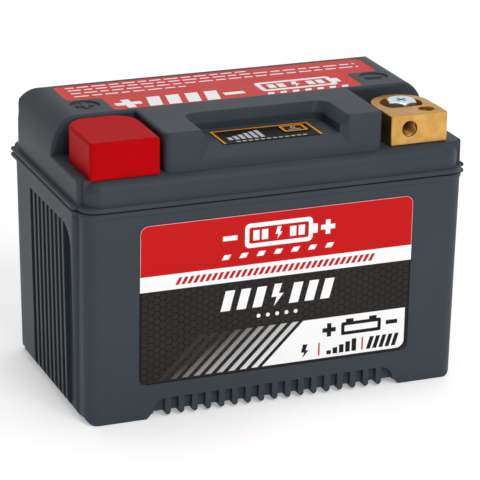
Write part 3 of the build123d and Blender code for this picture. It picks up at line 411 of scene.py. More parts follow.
@dataclass(frozen=True)
class MouldedPlastic:
    """A moulded plastic with grain, softened edges lightened by a painted highlight and by rubbing, and a
    trace of dust.
    """

    name: str
    dark: Colour
    light: Colour
    # The colour laid on the edges: a painted highlight, and rubbing.
    edge: Colour
    smoothest: float = 0.42
    roughest: float = 0.56
    grain_size: float = 0.45
    grain_depth: float = 0.22
    edge_radius: float = 0.35
    # How much of the edge colour, painted highlight and rubbing, is laid on.
    wear_and_highlight: float = 0.25
    dust: float = 0.03
    specular: float = 0.2

    def material(self) -> bpy.types.Material:
        """Builds the material.

        Returns:
            The material.
        """
        material, wiring, shader = new_material(self.name)
        grain = MouldedGrain().place(wiring, Grain_Size=self.grain_size)
        edges = EdgeHighlightAndWear().place(wiring, Radius=self.edge_radius * MM)
        dust = SettledDust().place(wiring, Amount=self.dust)
        colour = wiring.blend(grain.outputs["Tone"], self.dark, self.light)
        # Edges are lightened towards the edge colour: a painted highlight, partly rubbing by handling.
        rubbing_and_highlight = wiring.sum("MULTIPLY", edges.outputs["Mask"], self.wear_and_highlight)
        colour = wiring.blend(rubbing_and_highlight, colour, self.edge)
        colour = wiring.blend(dust.outputs["Mask"], colour, DUST_COLOUR)
        wiring.join(colour, shader.inputs["Base Color"])
        wiring.join(
            wiring.span(grain.outputs["Tone"], 0.0, 1.0, self.smoothest, self.roughest),
            shader.inputs["Roughness"],
        )
        bump = wiring.add("Bump")
        bump.inputs["Strength"].default_value = self.grain_depth
        bump.inputs["Distance"].default_value = 0.1 * MM
        wiring.join(grain.outputs["Height"], bump.inputs["Height"])
        wiring.join(edges.outputs["Normal"], bump.inputs["Normal"])
        wiring.join(bump.outputs["Normal"], shader.inputs["Normal"])
        shader.inputs["Specular IOR Level"].default_value = self.specular
        return material


@dataclass(frozen=True)
class PrintedFilm:
    """Ink on a satin label film, with its faint unevenness."""

    name: str
    dark: Colour
    light: Colour
    smoothest: float = 0.28
    roughest: float = 0.38
    specular: float = 0.12

    def material(self) -> bpy.types.Material:
        """Builds the material.

        Returns:
            The material.
        """
        material, wiring, shader = new_material(self.name)
        grain = MouldedGrain().place(wiring, Grain_Size=0.9, Drift=0.05)
        colour = wiring.blend(grain.outputs["Tone"], self.dark, self.light)
        wiring.join(colour, shader.inputs["Base Color"])
        wiring.join(
            wiring.span(grain.outputs["Tone"], 0.0, 1.0, self.smoothest, self.roughest),
            shader.inputs["Roughness"],
        )
        bump = wiring.add("Bump")
        bump.inputs["Strength"].default_value = 0.03
        bump.inputs["Distance"].default_value = 0.05 * MM
        wiring.join(grain.outputs["Height"], bump.inputs["Height"])
        wiring.join(bump.outputs["Normal"], shader.inputs["Normal"])
        shader.inputs["Specular IOR Level"].default_value = self.specular
        return material


@dataclass(frozen=True)
class FadingPrint:
    """The ink of the slanted stripes, which fades from stripe to stripe."""

    name: str
    dark: Colour
    light: Colour
    dark_at: float
    light_at: float
    lean: float = 1.6
    specular: float = 0.12

    def material(self) -> bpy.types.Material:
        """Builds the material.

        Returns:
            The material.
        """
        material, wiring, shader = new_material(self.name)
        parts = wiring.add("SeparateXYZ")
        wiring.join(wiring.millimetres(), parts.inputs[0])
        leaning = wiring.sum("MULTIPLY", parts.outputs["Z"], self.lean)
        slant = wiring.sum("SUBTRACT", parts.outputs["X"], leaning)
        step = wiring.span(slant, self.dark_at, self.light_at, 0.0, 1.0)
        grain = MouldedGrain().place(wiring, Grain_Size=0.9)
        faded = wiring.blend(step, self.dark, self.light)
        colour = wiring.blend(wiring.sum("MULTIPLY", grain.outputs["Tone"], 0.08), faded, self.dark)
        wiring.join(colour, shader.inputs["Base Color"])
        wiring.join(wiring.span(grain.outputs["Tone"], 0.0, 1.0, 0.3, 0.4), shader.inputs["Roughness"])
        shader.inputs["Specular IOR Level"].default_value = self.specular
        return material


@dataclass(frozen=True)
class DrawnMetalFinish:
    """A bare metal with tool lines, softened edges lightened by a painted highlight and by rubbing, and
    tarnish.
    """

    name: str
    dark: Colour
    light: Colour
    # The colour laid on the edges: a painted highlight, and rubbing.
    highlight_and_rubbing_colour: Colour
    smoothest: float = 0.34
    roughest: float = 0.46
    line_size: float = 0.12
    line_depth: float = 0.06
    edge_radius: float = 0.25

    def material(self) -> bpy.types.Material:
        """Builds the material.

        Returns:
            The material.
        """
        material, wiring, shader = new_material(self.name)
        lines = DrawnMetal().place(wiring, Line_Size=self.line_size)
        edges = EdgeHighlightAndWear().place(wiring, Radius=self.edge_radius * MM)
        colour = wiring.blend(lines.outputs["Tone"], self.dark, self.light)
        # Edges are lightened towards that colour: a painted highlight, partly rubbing.
        colour = wiring.blend(wiring.sum("MULTIPLY", edges.outputs["Mask"], 0.6), colour, self.highlight_and_rubbing_colour)
        wiring.join(colour, shader.inputs["Base Color"])
        wiring.join(
            wiring.span(lines.outputs["Tone"], 0.0, 1.0, self.roughest, self.smoothest),
            shader.inputs["Roughness"],
        )
        bump = wiring.add("Bump")
        bump.inputs["Strength"].default_value = self.line_depth
        bump.inputs["Distance"].default_value = 0.05 * MM
        wiring.join(lines.outputs["Height"], bump.inputs["Height"])
        wiring.join(edges.outputs["Normal"], bump.inputs["Normal"])
        wiring.join(bump.outputs["Normal"], shader.inputs["Normal"])
        shader.inputs["Metallic"].default_value = 1.0
        return material


# ---- printed shapes ------------------------------------------------------------------
class Shape:
    """Flat outlines in millimetres, counter-clockwise, for the printed marks."""

    @staticmethod
    def panel(left: float, right: float, low: float, high: float, corner: float = 0.0) -> Outline:
        """An upright rectangle with round corners.

        Args:
            left: Lowest first coordinate.
            right: Highest first coordinate.
            low: Lowest second coordinate.
            high: Highest second coordinate.
            corner: Radius of its corners.

        Returns:
            The outline.
        """
        if corner <= 0:
            return [(left, low), (right, low), (right, high), (left, high)]
        steps = 6
        points: Outline = []
        middles = (
            (right, low, -1, 1, -90),
            (right, high, -1, -1, 0),
            (left, high, 1, -1, 90),
            (left, low, 1, 1, 180),
        )
        for x, y, turn_x, turn_y, start in middles:
            for step in range(steps + 1):
                angle = math.radians(start + 90 * step / steps)
                points.append((
                    x + turn_x * corner + corner * math.cos(angle),
                    y + turn_y * corner + corner * math.sin(angle),
                ))
        return points

    @staticmethod
    def slant(left: float, low: float, high: float, width: float, lean: float = 1.0) -> Outline:
        """A leaning bar.

        Args:
            left: Where its lower left corner is.
            low: Its lowest coordinate.
            high: Its highest coordinate.
            width: Its level width.
            lean: How far it leans for each millimetre that it rises.

        Returns:
            The outline.
        """
        shift = (high - low) * lean
        return [(left, low), (left + width, low), (left + width + shift, high), (left + shift, high)]

    @staticmethod
    def disc(x: float, y: float, radius: float, sides: int = 20) -> Outline:
        """A circle, or a regular shape of a few sides.

        Args:
            x: Its middle.
            y: Its middle.
            radius: From the middle to a corner.
            sides: How many sides it has.

        Returns:
            The outline.
        """
        turn = 2 * math.pi / sides
        return [(x + radius * math.cos(turn * i), y + radius * math.sin(turn * i)) for i in range(sides)]

    @staticmethod
    def lightning(x: float, low: float, high: float) -> Outline:
        """A plain zigzag electricity sign.

        Args:
            x: Its middle.
            low: Its lowest point.
            high: Its highest point.

        Returns:
            The outline.
        """
        tall = high - low
        knots = (
            (-0.16, 0.0), (0.28, 0.56), (0.06, 0.56), (0.2, 1.0), (-0.14, 1.0), (-0.28, 0.42), (-0.04, 0.42),
        )
        return [(x + across * tall, low + up * tall) for across, up in knots]

    @staticmethod
    def plus(x: float, y: float, reach: float, thick: float) -> Outline:
        """A plus sign.

        Args:
            x: Its middle.
            y: Its middle.
            reach: Half its length.
            thick: Half the width of its bars.

        Returns:
            The outline.
        """
        knots = (
            (-reach, -thick), (-thick, -thick), (-thick, -reach),
            (thick, -reach), (thick, -thick), (reach, -thick),
            (reach, thick), (thick, thick), (thick, reach),
            (-thick, reach), (-thick, thick), (-reach, thick),
        )
        return [(x + across, y + up) for across, up in knots]

    @staticmethod
    def trim(outline: Outline, left: float, right: float, low: float, high: float) -> Outline:
        """Cuts an outline back to a rectangle.

        Args:
            outline: A convex outline.
            left: The rectangle's left side.
            right: Its right side.
            low: Its foot.
            high: Its top.

        Returns:
            What is left of it, which may be empty.
        """
        for axis, sign, limit in ((0, 1, left), (0, -1, -right), (1, 1, low), (1, -1, -high)):
            kept: Outline = []
            for index, here in enumerate(outline):
                before = outline[index - 1]
                inside = sign * here[axis] >= limit
                was_inside = sign * before[axis] >= limit
                if inside != was_inside:
                    share = (limit - sign * before[axis]) / (sign * here[axis] - sign * before[axis])
                    kept.append(tuple(b + share * (h - b) for b, h in zip(before, here)))
                if inside:
                    kept.append(here)
            outline = kept
        return outline


@dataclass(frozen=True)
class SlantRow:
    """A row of leaning bars, all alike."""

    count: int
    first: float
    pitch: float
    low: float
    high: float
    width: float
    lean: float

    def outlines(self) -> list[Outline]:
        """The bars' outlines, one after another."""
        lefts = [self.first + self.pitch * number for number in range(self.count)]
        return [Shape.slant(left, self.low, self.high, self.width, self.lean) for left in lefts]


@dataclass(frozen=True)
class RisingBars:
    """A row of upright bars, each taller than the last by the same step."""

    count: int
    first: float
    pitch: float
    width: float
    low: float
    shortest: float
    growth: float = 0.0

    def outlines(self) -> list[Outline]:
        """Works out the bars.

        Returns:
            Their outlines, one after another.
        """
        bars = []
        for number in range(self.count):
            left = self.first + self.pitch * number
            high = self.low + self.shortest + self.growth * number
            bars.append(Shape.panel(left, left + self.width, self.low, high))
        return bars


@dataclass(frozen=True)
class PrintPlane:
    """The flat face that a label's inks lie on, in millimetres."""

    origin: Place
    across: Place
    up: Place
    out: Place

    def place(self, point: Point, lift: float) -> Vector:
        """The place in metres of a point of the artwork.

        Args:
            point: Its two coordinates on the face.
            lift: How far it stands off the face.

        Returns:
            The place.
        """
        spot = Vector(self.origin) + Vector(self.across) * point[0] + Vector(self.up) * point[1]
        return (spot + Vector(self.out) * lift) * MM


def add_piece(
    name: str, mesh: bmesh.types.BMesh, material: bpy.types.Material, body: Body
) -> None:
    """Turns a mesh into a piece that rides on a body.

    Args:
        name: The piece's name.
        mesh: Its mesh in metres, which is freed.
        material: Its finish.
        body: The body that it moves with.
    """
    data = bpy.data.meshes.new(name)
    mesh.to_mesh(data)
    mesh.free()
    data.materials.append(material)
    piece = bpy.data.objects.new(name, data)
    bpy.context.scene.collection.objects.link(piece)
    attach(piece, body.value)
    LOG.info("%s: %d faces on %s", name, len(data.polygons), body.value)


class InkLayer:
    """One colour of ink on a face: a set of thin closed shapes in one mesh."""

    def __init__(self, plane: PrintPlane, low: float = -INK_OVERLAP, high: float = INK_HEIGHT) -> None:
        """Starts an empty layer.

        Args:
            plane: The face that it is printed on.
            low: Where its underside is above the face.
            high: Where its outside is above the face.
        """
        self.plane = plane
        self.levels = (low, high)
        self.mesh = bmesh.new()

    def stamp(self, *outlines: Outline) -> None:
        """Adds filled shapes.

        Args:
            outlines: Their outlines. An empty one is passed over.
        """
        for outline in outlines:
            if len(outline) < 3:
                continue
            low, high = (
                [self.mesh.verts.new(self.plane.place(point, lift)) for point in outline]
                for lift in self.levels
            )
            self.mesh.faces.new(high)
            self.mesh.faces.new(low[::-1])
            for index in range(len(outline)):
                self.mesh.faces.new((low[index - 1], low[index], high[index], high[index - 1]))

    def ring(self, outer: Outline, inner: Outline) -> None:
        """Adds a frame between two outlines.

        Args:
            outer: The outline outside it.
            inner: The outline inside it, with as many points.
        """
        low_outer, low_inner, high_outer, high_inner = (
            [self.mesh.verts.new(self.plane.place(point, lift)) for point in outline]
            for lift in self.levels
            for outline in (outer, inner)
        )
        for index in range(len(outer)):
            last = index - 1
            self.mesh.faces.new((high_outer[last], high_outer[index], high_inner[index], high_inner[last]))
            self.mesh.faces.new((low_outer[index], low_outer[last], low_inner[last], low_inner[index]))
            self.mesh.faces.new((low_outer[last], low_outer[index], high_outer[index], high_outer[last]))
            self.mesh.faces.new((low_inner[index], low_inner[last], high_inner[last], high_inner[index]))

    def finish(self, name: str, material: bpy.types.Material, body: Body, slot: Slot) -> None:
        """Turns the layer into a piece.

        Args:
            name: The piece's name.
            material: Its ink.
            body: The body that it moves with.
            slot: The record's slot for its finish; it is not used.
        """
        add_piece(name, self.mesh, material, body)


@dataclass(frozen=True)
class BatterySign:
    """A plain battery outline with four bars and an electricity sign in it."""

    middle: float
    half_length: float
    low: float
    high: float
    wall: float
    pole_length: float
    pole_inset: float
    bars: tuple[float, ...]
    bar_width: float
    bar_inset: float
    zigzag_inset: float
    outer_corner: float = 1.8
    inner_corner: float = 0.6
    pole_corner: float = 0.4

    def print_on(self, layer: InkLayer) -> None:
        """Adds the sign to a layer.

        Args:
            layer: The layer of ink.
        """
        left = self.middle - self.half_length
        right = self.middle + self.half_length
        wall = self.wall
        layer.ring(
            Shape.panel(left, right, self.low, self.high, self.outer_corner),
            Shape.panel(left + wall, right - wall, self.low + wall, self.high - wall, self.inner_corner),
        )
        inset = self.pole_inset
        pole_end = right + self.pole_length
        layer.stamp(Shape.panel(right, pole_end, self.low + inset, self.high - inset, self.pole_corner))
        for offset in self.bars:
            near = self.middle + offset
            foot = self.low + self.bar_inset
            layer.stamp(Shape.panel(near, near + self.bar_width, foot, self.high - self.bar_inset))
        layer.stamp(Shape.lightning(self.middle, self.low + self.zigzag_inset, self.high - self.zigzag_inset))


# ---- studio --------------------------------------------------------------------------
@dataclass(frozen=True)
class Lamp:
    """One soft square lamp that points at the battery."""

    name: str
    place: Place
    size: float
    power: float

    def hang(self) -> None:
        """Adds the lamp to the scene."""
        data = bpy.data.lights.new(self.name, "AREA")
        data.shape = "SQUARE"
        data.size = self.size
        data.energy = self.power
        lamp = bpy.data.objects.new(self.name, data)
        lamp.location = self.place
        aim = Vector((0, 0, 0.05)) - Vector(self.place)
        lamp.rotation_euler = aim.to_track_quat("-Z", "Y").to_euler()
        bpy.context.scene.collection.objects.link(lamp)


@dataclass
class Studio:
    """The camera, the floor and the lights."""

    azimuth: float = -21.648
    elevation: float = 19.568
    roll: float = 0.696
    distance: float = 965.0
    slide_across: float = 1.183
    slide_up: float = -1.626
    lens: float = 194.7
    target: Place = (0.8, 0.0, 50.0)
    floor_half: float = 4.0
    floor_white: Colour = (0.96, 0.96, 0.96)
    floor_glow: float = 0.32
    surround_strength: float = 0.60
    surround_tilt: Place = (0.30, 0.30, 0.0)
    lamps: tuple[Lamp, ...] = (
        Lamp("key_lamp", (0.15, -1.1, 0.9), 0.7, 8.6),
        Lamp("top_lamp", (0.1, 0.35, 1.3), 0.9, 2.5),
    )

    def camera(self) -> None:
        """Places the camera and makes it the scene's own."""
        turn = math.radians(self.azimuth)
        rise = math.radians(self.elevation)
        back = Vector((math.sin(turn) * math.cos(rise), -math.cos(turn) * math.cos(rise), math.sin(rise)))
        level = Vector((math.cos(turn), math.sin(turn), 0.0))
        upright = Vector((-math.sin(turn) * math.sin(rise), math.cos(turn) * math.sin(rise), math.cos(rise)))
        tilt = math.radians(self.roll)
        right = math.cos(tilt) * level + math.sin(tilt) * upright
        up = -math.sin(tilt) * level + math.cos(tilt) * upright
        spot = Vector(self.target) + self.distance * back + self.slide_across * right + self.slide_up * up
        data = bpy.data.cameras.new("studio_camera")
        data.lens = self.lens
        data.sensor_width = 36.0
        data.clip_start = 0.01
        data.clip_end = 50.0
        camera = bpy.data.objects.new("studio_camera", data)
        turned = Matrix((right, up, back)).transposed().to_4x4()
        camera.matrix_world = Matrix.Translation(spot * MM) @ turned
        bpy.context.scene.collection.objects.link(camera)
        bpy.context.scene.camera = camera

    def floor(self) -> None:
        """Lays the pale floor."""
        material, wiring, shader = new_material("studio_floor")
        tone = wiring.noise(wiring.millimetres(), 0.01, 2.0)
        paler = tuple(min(part * 1.01, 1.0) for part in self.floor_white)
        wiring.join(wiring.blend(tone, self.floor_white, paler), shader.inputs["Base Color"])
        shader.inputs["Roughness"].default_value = 0.9
        shader.inputs["Specular IOR Level"].default_value = 0.1
        shader.inputs["Emission Color"].default_value = (1.0, 1.0, 1.0, 1.0)
        shader.inputs["Emission Strength"].default_value = self.floor_glow
        mesh = bmesh.new()
        reach = self.floor_half
        corners = [(-reach, -reach), (reach, -reach), (reach, reach), (-reach, reach)]
        mesh.faces.new([mesh.verts.new((x, y, -0.1 * MM)) for x, y in corners])
        data = bpy.data.meshes.new("studio_floor")
        mesh.to_mesh(data)
        mesh.free()
        data.materials.append(material)
        floor = bpy.data.objects.new("studio_floor", data)
        bpy.context.scene.collection.objects.link(floor)

    def light(self) -> None:
        """Adds the even surround and the soft lamps."""
        world = bpy.data.worlds.new("studio_surround")
        world.use_nodes = True
        wiring = Wiring(world.node_tree)
        output = wiring.add("OutputWorld")
        surround = wiring.add("Background")
        wiring.join(surround.outputs[0], output.inputs["Surface"])
        direction = wiring.add("TexCoord")
        slope = wiring.add("VectorMath", operation="DOT_PRODUCT")
        wiring.join(direction.outputs["Generated"], slope.inputs[0])
        slope.inputs[1].default_value = self.surround_tilt
        strength = wiring.sum("ADD", slope.outputs["Value"], self.surround_strength)
        wiring.join(strength, surround.inputs["Strength"])
        bpy.context.scene.world = world
        bpy.context.scene.view_settings.view_transform = "Standard"
        for lamp in self.lamps:
            lamp.hang()


# ---- finishes of this battery --------------------------------------------------------
class Paintbox:
    """Every finish of the battery, each built once."""

    def __init__(self) -> None:
        """Builds the finishes."""
        # The third colour of each plastic and the last colour of each metal go on the edges as a painted
        # highlight with rubbing.
        self.case = MouldedPlastic(
            "case_plastic_finish", (0.031, 0.041, 0.051), (0.040, 0.052, 0.064), (0.11, 0.13, 0.15)
        ).material()
        self.lid = MouldedPlastic(
            "lid_plastic_finish", (0.031, 0.041, 0.051), (0.040, 0.052, 0.064), (0.10, 0.12, 0.14),
            edge_radius=0.9,
        ).material()
        self.cap = MouldedPlastic(
            "cap_red_finish", (0.43, 0.001, 0.003), (0.51, 0.002, 0.005), (0.66, 0.02, 0.02),
            smoothest=0.34, roughest=0.46, grain_depth=0.06, edge_radius=1.1,
            wear_and_highlight=0.15, dust=0.0, specular=0.02,
        ).material()
        self.red_ink = PrintedFilm("red_ink", (0.54, 0.003, 0.004), (0.58, 0.005, 0.006)).material()
        self.top_red_ink = PrintedFilm(
            "top_red_ink", (0.60, 0.006, 0.004), (0.66, 0.010, 0.007),
            smoothest=0.35, roughest=0.45, specular=0.2,
        ).material()
        self.white_ink = PrintedFilm("white_ink", (0.92, 0.92, 0.92), (0.97, 0.97, 0.97)).material()
        self.edge_ink = PrintedFilm("film_edge", (0.62, 0.30, 0.30), (0.74, 0.42, 0.42)).material()
        self.black_ink = PrintedFilm("black_ink", (0.003, 0.003, 0.003), (0.006, 0.005, 0.005)).material()
        self.tile_ink = PrintedFilm("tile_ink", (0.019, 0.016, 0.014), (0.030, 0.025, 0.022)).material()
        self.text_ink = PrintedFilm("dark_mark_ink", (0.006, 0.006, 0.007), (0.010, 0.010, 0.011)).material()
        self.stripe_ink = FadingPrint(
            "stripe_ink", (0.034, 0.030, 0.028), (0.88, 0.88, 0.88), dark_at=-66.0, light_at=-29.0
        ).material()
        self.orange_ink = PrintedFilm("orange_ink", (0.72, 0.27, 0.004), (0.82, 0.35, 0.010)).material()
        self.grey_ink = PrintedFilm("grey_ink", (0.50, 0.50, 0.52), (0.62, 0.62, 0.64)).material()
        self.film_black = PrintedFilm(
            "film_black", (0.007, 0.006, 0.005), (0.013, 0.011, 0.010), smoothest=0.34, roughest=0.46
        ).material()
        self.brass = DrawnMetalFinish(
            "terminal_brass", (0.55, 0.30, 0.078), (0.69, 0.40, 0.118), (0.95, 0.74, 0.42)
        ).material()
        self.zinc = DrawnMetalFinish(
            "bolt_zinc", (0.68, 0.85, 0.92), (0.84, 0.97, 1.0), (0.95, 1.0, 1.0),
            smoothest=0.22, roughest=0.34, line_size=0.2,
        ).material()
        self.copper = DrawnMetalFinish(
            "strap_copper", (0.55, 0.22, 0.11), (0.80, 0.38, 0.22), (0.95, 0.60, 0.42)
        ).material()
        self.nickel = DrawnMetalFinish(
            "link_nickel", (0.44, 0.42, 0.38), (0.62, 0.60, 0.55), (0.85, 0.83, 0.80)
        ).material()
        self.inside = self.inner_finishes()

    @staticmethod
    def inner_finishes() -> dict[str, bpy.types.Material]:
        """Builds the finishes of the pieces inside, by slot.

        Returns:
            The materials by the name of their slot.
        """
        made = (
            MouldedPlastic(
                "clear_guide", (0.62, 0.66, 0.68), (0.72, 0.76, 0.78), (0.9, 0.9, 0.9),
                smoothest=0.1, roughest=0.2,
            ),
            MouldedPlastic(
                "component_black", (0.012, 0.012, 0.013), (0.02, 0.02, 0.021), (0.08, 0.08, 0.08)
            ),
            MouldedPlastic(
                "board_green", (0.008, 0.07, 0.025), (0.012, 0.10, 0.035), (0.2, 0.3, 0.12),
                smoothest=0.25, roughest=0.4,
            ),
            MouldedPlastic(
                "led_white", (0.75, 0.74, 0.68), (0.85, 0.84, 0.78), (0.9, 0.9, 0.88),
                smoothest=0.2, roughest=0.35,
            ),
            MouldedPlastic(
                "frame_plastic", (0.018, 0.019, 0.021), (0.03, 0.031, 0.034), (0.1, 0.1, 0.1)
            ),
            MouldedPlastic(
                "cell_wrap", (0.015, 0.10, 0.34), (0.022, 0.13, 0.42), (0.2, 0.35, 0.6),
                smoothest=0.25, roughest=0.38,
            ),
            MouldedPlastic(
                "foam", (0.05, 0.05, 0.055), (0.12, 0.12, 0.125), (0.15, 0.15, 0.15),
                smoothest=0.6, roughest=0.85, grain_size=0.8, grain_depth=0.5,
            ),
            MouldedPlastic(
                "insulator", (0.55, 0.50, 0.36), (0.66, 0.61, 0.46), (0.7, 0.66, 0.55),
                smoothest=0.5, roughest=0.7,
            ),
            MouldedPlastic(
                "sealant", (0.012, 0.012, 0.013), (0.02, 0.02, 0.022), (0.04, 0.04, 0.04),
                smoothest=0.35, roughest=0.55,
            ),
        )
        return {finish.name: finish.material() for finish in made}


# ---- sub-assemblies ------------------------------------------------------------------
@dataclass
class FrontLabel:
    """The printed film on the front panel: red above, a dark honeycomb below."""

    paints: Paintbox
    panel_depth: float = 41.3
    panel_lean: float = 0.02029
    film: float = 0.25
    half_length: float = 52.22
    foot: float = 13.47
    dark_top: float = 48.9
    band_top: float = 54.7
    corner: float = 3.0
    edge_width: float = 0.2
    edge_height: float = 0.021
    tile_radius: float = 1.53
    tile_gap: float = 0.17
    tile_margin: float = 0.4
    dashes: SlantRow = SlantRow(
        count=34, first=-39.15, pitch=2.25, low=50.45, high=53.15, width=1.3, lean=0.55
    )
    stripes: SlantRow = SlantRow(
        count=9, first=-9.6, pitch=-4.45, low=14.6, high=30.3, width=2.35, lean=1.0
    )
    sign: BatterySign = BatterySign(
        middle=0.0, half_length=13.0, low=61.0, high=70.2, wall=1.6, pole_length=1.9, pole_inset=2.8,
        bars=(-9.9, -6.6, 4.2, 7.5), bar_width=2.4, bar_inset=2.7, zigzag_inset=2.2,
    )
    sign_row: SlantRow = SlantRow(
        count=7, first=-21.7, pitch=6.6, low=57.6, high=59.4, width=2.6, lean=0.55
    )
    bold_left: SlantRow = SlantRow(
        count=3, first=-21.9, pitch=6.1, low=38.0, high=45.7, width=3.6, lean=0.25
    )
    bold_right: SlantRow = SlantRow(
        count=3, first=4.4, pitch=6.1, low=38.0, high=45.7, width=3.6, lean=0.25
    )
    dot_radius: float = 0.75
    dot_pitch: float = 3.6
    dot_level: float = 34.6
    panel_low: float = 14.6
    panel_high: float = 30.3
    panel_right: float = 50.7
    panel_left_foot: float = -5.4
    panel_left_top: float = 10.3
    mark_bars: RisingBars = RisingBars(
        count=5, first=19.8, pitch=2.5, width=1.8, low=15.8, shortest=1.5, growth=0.85
    )
    mark_row: SlantRow = SlantRow(
        count=5, first=35.6, pitch=2.5, low=15.8, high=20.6, width=1.6, lean=0.3
    )
    rules: tuple[float, float] = (16.8, 34.0)
    rule_half: float = 0.3

    def plane(self) -> PrintPlane:
        """Finds the outer face of the film, which leans with the panel.

        Returns:
            The face.
        """
        origin = (0.0, -self.panel_depth - self.film, 0.0)
        return PrintPlane(origin, (1.0, 0.0, 0.0), (0.0, -self.panel_lean, 1.0), (0.0, -1.0, 0.0))

    def ink(self, name: str, material: bpy.types.Material, level: int, shapes: list[Outline]) -> None:
        """Prints one layer.

        Args:
            name: The piece's name.
            material: The ink.
            level: Its order, 1 on the film, 2 over that, and so on.
            shapes: The outlines.
        """
        underside = -self.film if level == 1 else (level - 1) * INK_HEIGHT - INK_OVERLAP
        layer = InkLayer(self.plane(), underside, level * INK_HEIGHT)
        layer.stamp(*shapes)
        layer.finish(name, material, Body.BATTERY, Slot.FRONT_PRINT)

    def film_edge(self) -> None:
        """Adds the pale cut edge that runs round the film."""
        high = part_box("front_label")[1][2] / MM
        ends = self.half_length - INK_OVERLAP
        inset = self.edge_width
        layer = InkLayer(self.plane(), -self.film, self.edge_height)
        layer.ring(
            Shape.panel(-ends, ends, self.foot + INK_OVERLAP, high, self.corner),
            Shape.panel(-ends + inset, ends - inset, self.foot + inset, high - inset, self.corner - inset),
        )
        layer.finish("front_label_edge", self.paints.edge_ink, Body.BATTERY, Slot.FRONT_PRINT)

    def build(self) -> None:
        """Prints every layer of the label."""
        self.film_edge()
        ends = self.half_length
        round_foot = Shape.panel(-ends, ends, self.foot, self.dark_top + self.corner, self.corner)
        dark_field = Shape.trim(round_foot, -ends, ends, self.foot, self.dark_top)
        self.ink("front_label_dark_field", self.paints.black_ink, 1, [dark_field])
        self.ink("front_label_honeycomb", self.paints.tile_ink, 2, self.honeycomb())
        band = Shape.panel(-ends, ends, self.dark_top, self.band_top)
        self.ink("front_label_white_band", self.paints.white_ink, 1, [band])
        self.ink("front_label_band_dashes", self.paints.red_ink, 2, self.dashes.outlines())
        self.ink("front_label_stripes", self.paints.stripe_ink, 3, self.stripes.outlines())
        self.ink("front_label_white_panel", self.paints.white_ink, 3, [self.white_panel()])
        self.emblem()
        self.ink("front_label_bold_row", self.paints.white_ink, 3, self.bold_row())
        self.panel_marks()

    def honeycomb(self) -> list[Outline]:
        """Lays out the honeycomb, cut back at the edges of the dark field.

        Returns:
            The outlines of its tiles.
        """
        tiles = []
        across = 1.5 * self.tile_radius
        rise = math.sqrt(3) * self.tile_radius
        ends = self.half_length
        side = ends - self.tile_margin
        columns = int(ends / across) + 1
        rows = int((self.dark_top - self.foot) / rise) + 2
        for column in range(-columns, columns + 1):
            for row in range(rows):
                middle = self.foot + (row + 0.5 * (column % 2)) * rise
                tile = Shape.disc(column * across, middle, self.tile_radius - self.tile_gap, 6)
                in_end = abs(column * across) > ends - self.corner / 2
                if in_end and middle < self.foot + self.corner / 2:
                    continue
                tiles.append(Shape.trim(tile, -side, side, self.foot + self.tile_margin, self.dark_top))
        return tiles

    def white_panel(self) -> Outline:
        """Draws the white panel in the lower right corner, with a leaning left side.

        Returns:
            Its outline.
        """
        low, high, right = self.panel_low, self.panel_high, self.panel_right
        rounded = Shape.panel(0.0, right, low, high + self.corner, self.corner)
        near_corner = right - self.corner - INK_OVERLAP
        under_corner = low + self.corner + INK_OVERLAP
        turn = [point for point in rounded if point[0] > near_corner and point[1] < under_corner]
        return [(self.panel_left_foot, low), *turn, (right, high), (self.panel_left_top, high)]

    def emblem(self) -> None:
        """Prints the battery sign between a minus and a plus on the red field."""
        layer = InkLayer(self.plane())
        self.sign.print_on(layer)
        layer.stamp(Shape.panel(-21.4, -15.9, 64.7, 66.5), Shape.plus(18.9, 65.6, 2.75, 0.9))
        layer.stamp(*self.sign_row.outlines())
        layer.finish("front_label_battery_sign", self.paints.white_ink, Body.BATTERY, Slot.FRONT_PRINT)

    def bold_row(self) -> list[Outline]:
        """Lays out the bold row in the dark field, with a row of dots under it.

        Returns:
            The outlines.
        """
        places = [(number - 2) * self.dot_pitch for number in range(5)]
        dots = [Shape.disc(place, self.dot_level, self.dot_radius) for place in places]
        zigzag = Shape.lightning(0.0, 37.6, 46.1)
        return [zigzag, *self.bold_right.outlines(), *self.bold_left.outlines(), *dots]

    def panel_marks(self) -> None:
        """Prints the dark marks and the red rules on the white panel."""
        layer = InkLayer(self.plane(), 3 * INK_HEIGHT - INK_OVERLAP, 4 * INK_HEIGHT)
        layer.stamp(Shape.plus(20.6, 25.4, 2.6, 0.85), Shape.panel(43.2, 47.8, 24.6, 26.2))
        layer.ring(Shape.panel(25.4, 41.2, 22.6, 27.6, 0.7), Shape.panel(26.7, 39.9, 23.9, 26.3, 0.3))
        layer.stamp(*(Shape.panel(left, left + 3.0, 27.6, 28.8) for left in (27.2, 36.4)))
        layer.stamp(Shape.lightning(11.2, 15.6, 20.9), *self.mark_bars.outlines(), *self.mark_row.outlines())
        layer.finish("front_label_dark_marks", self.paints.text_ink, Body.BATTERY, Slot.FRONT_PRINT)
        half = self.rule_half
        rules = [Shape.panel(x - half, x + half, 15.8, 20.8) for x in self.rules]
        self.ink("front_label_red_rules", self.paints.red_ink, 4, rules)


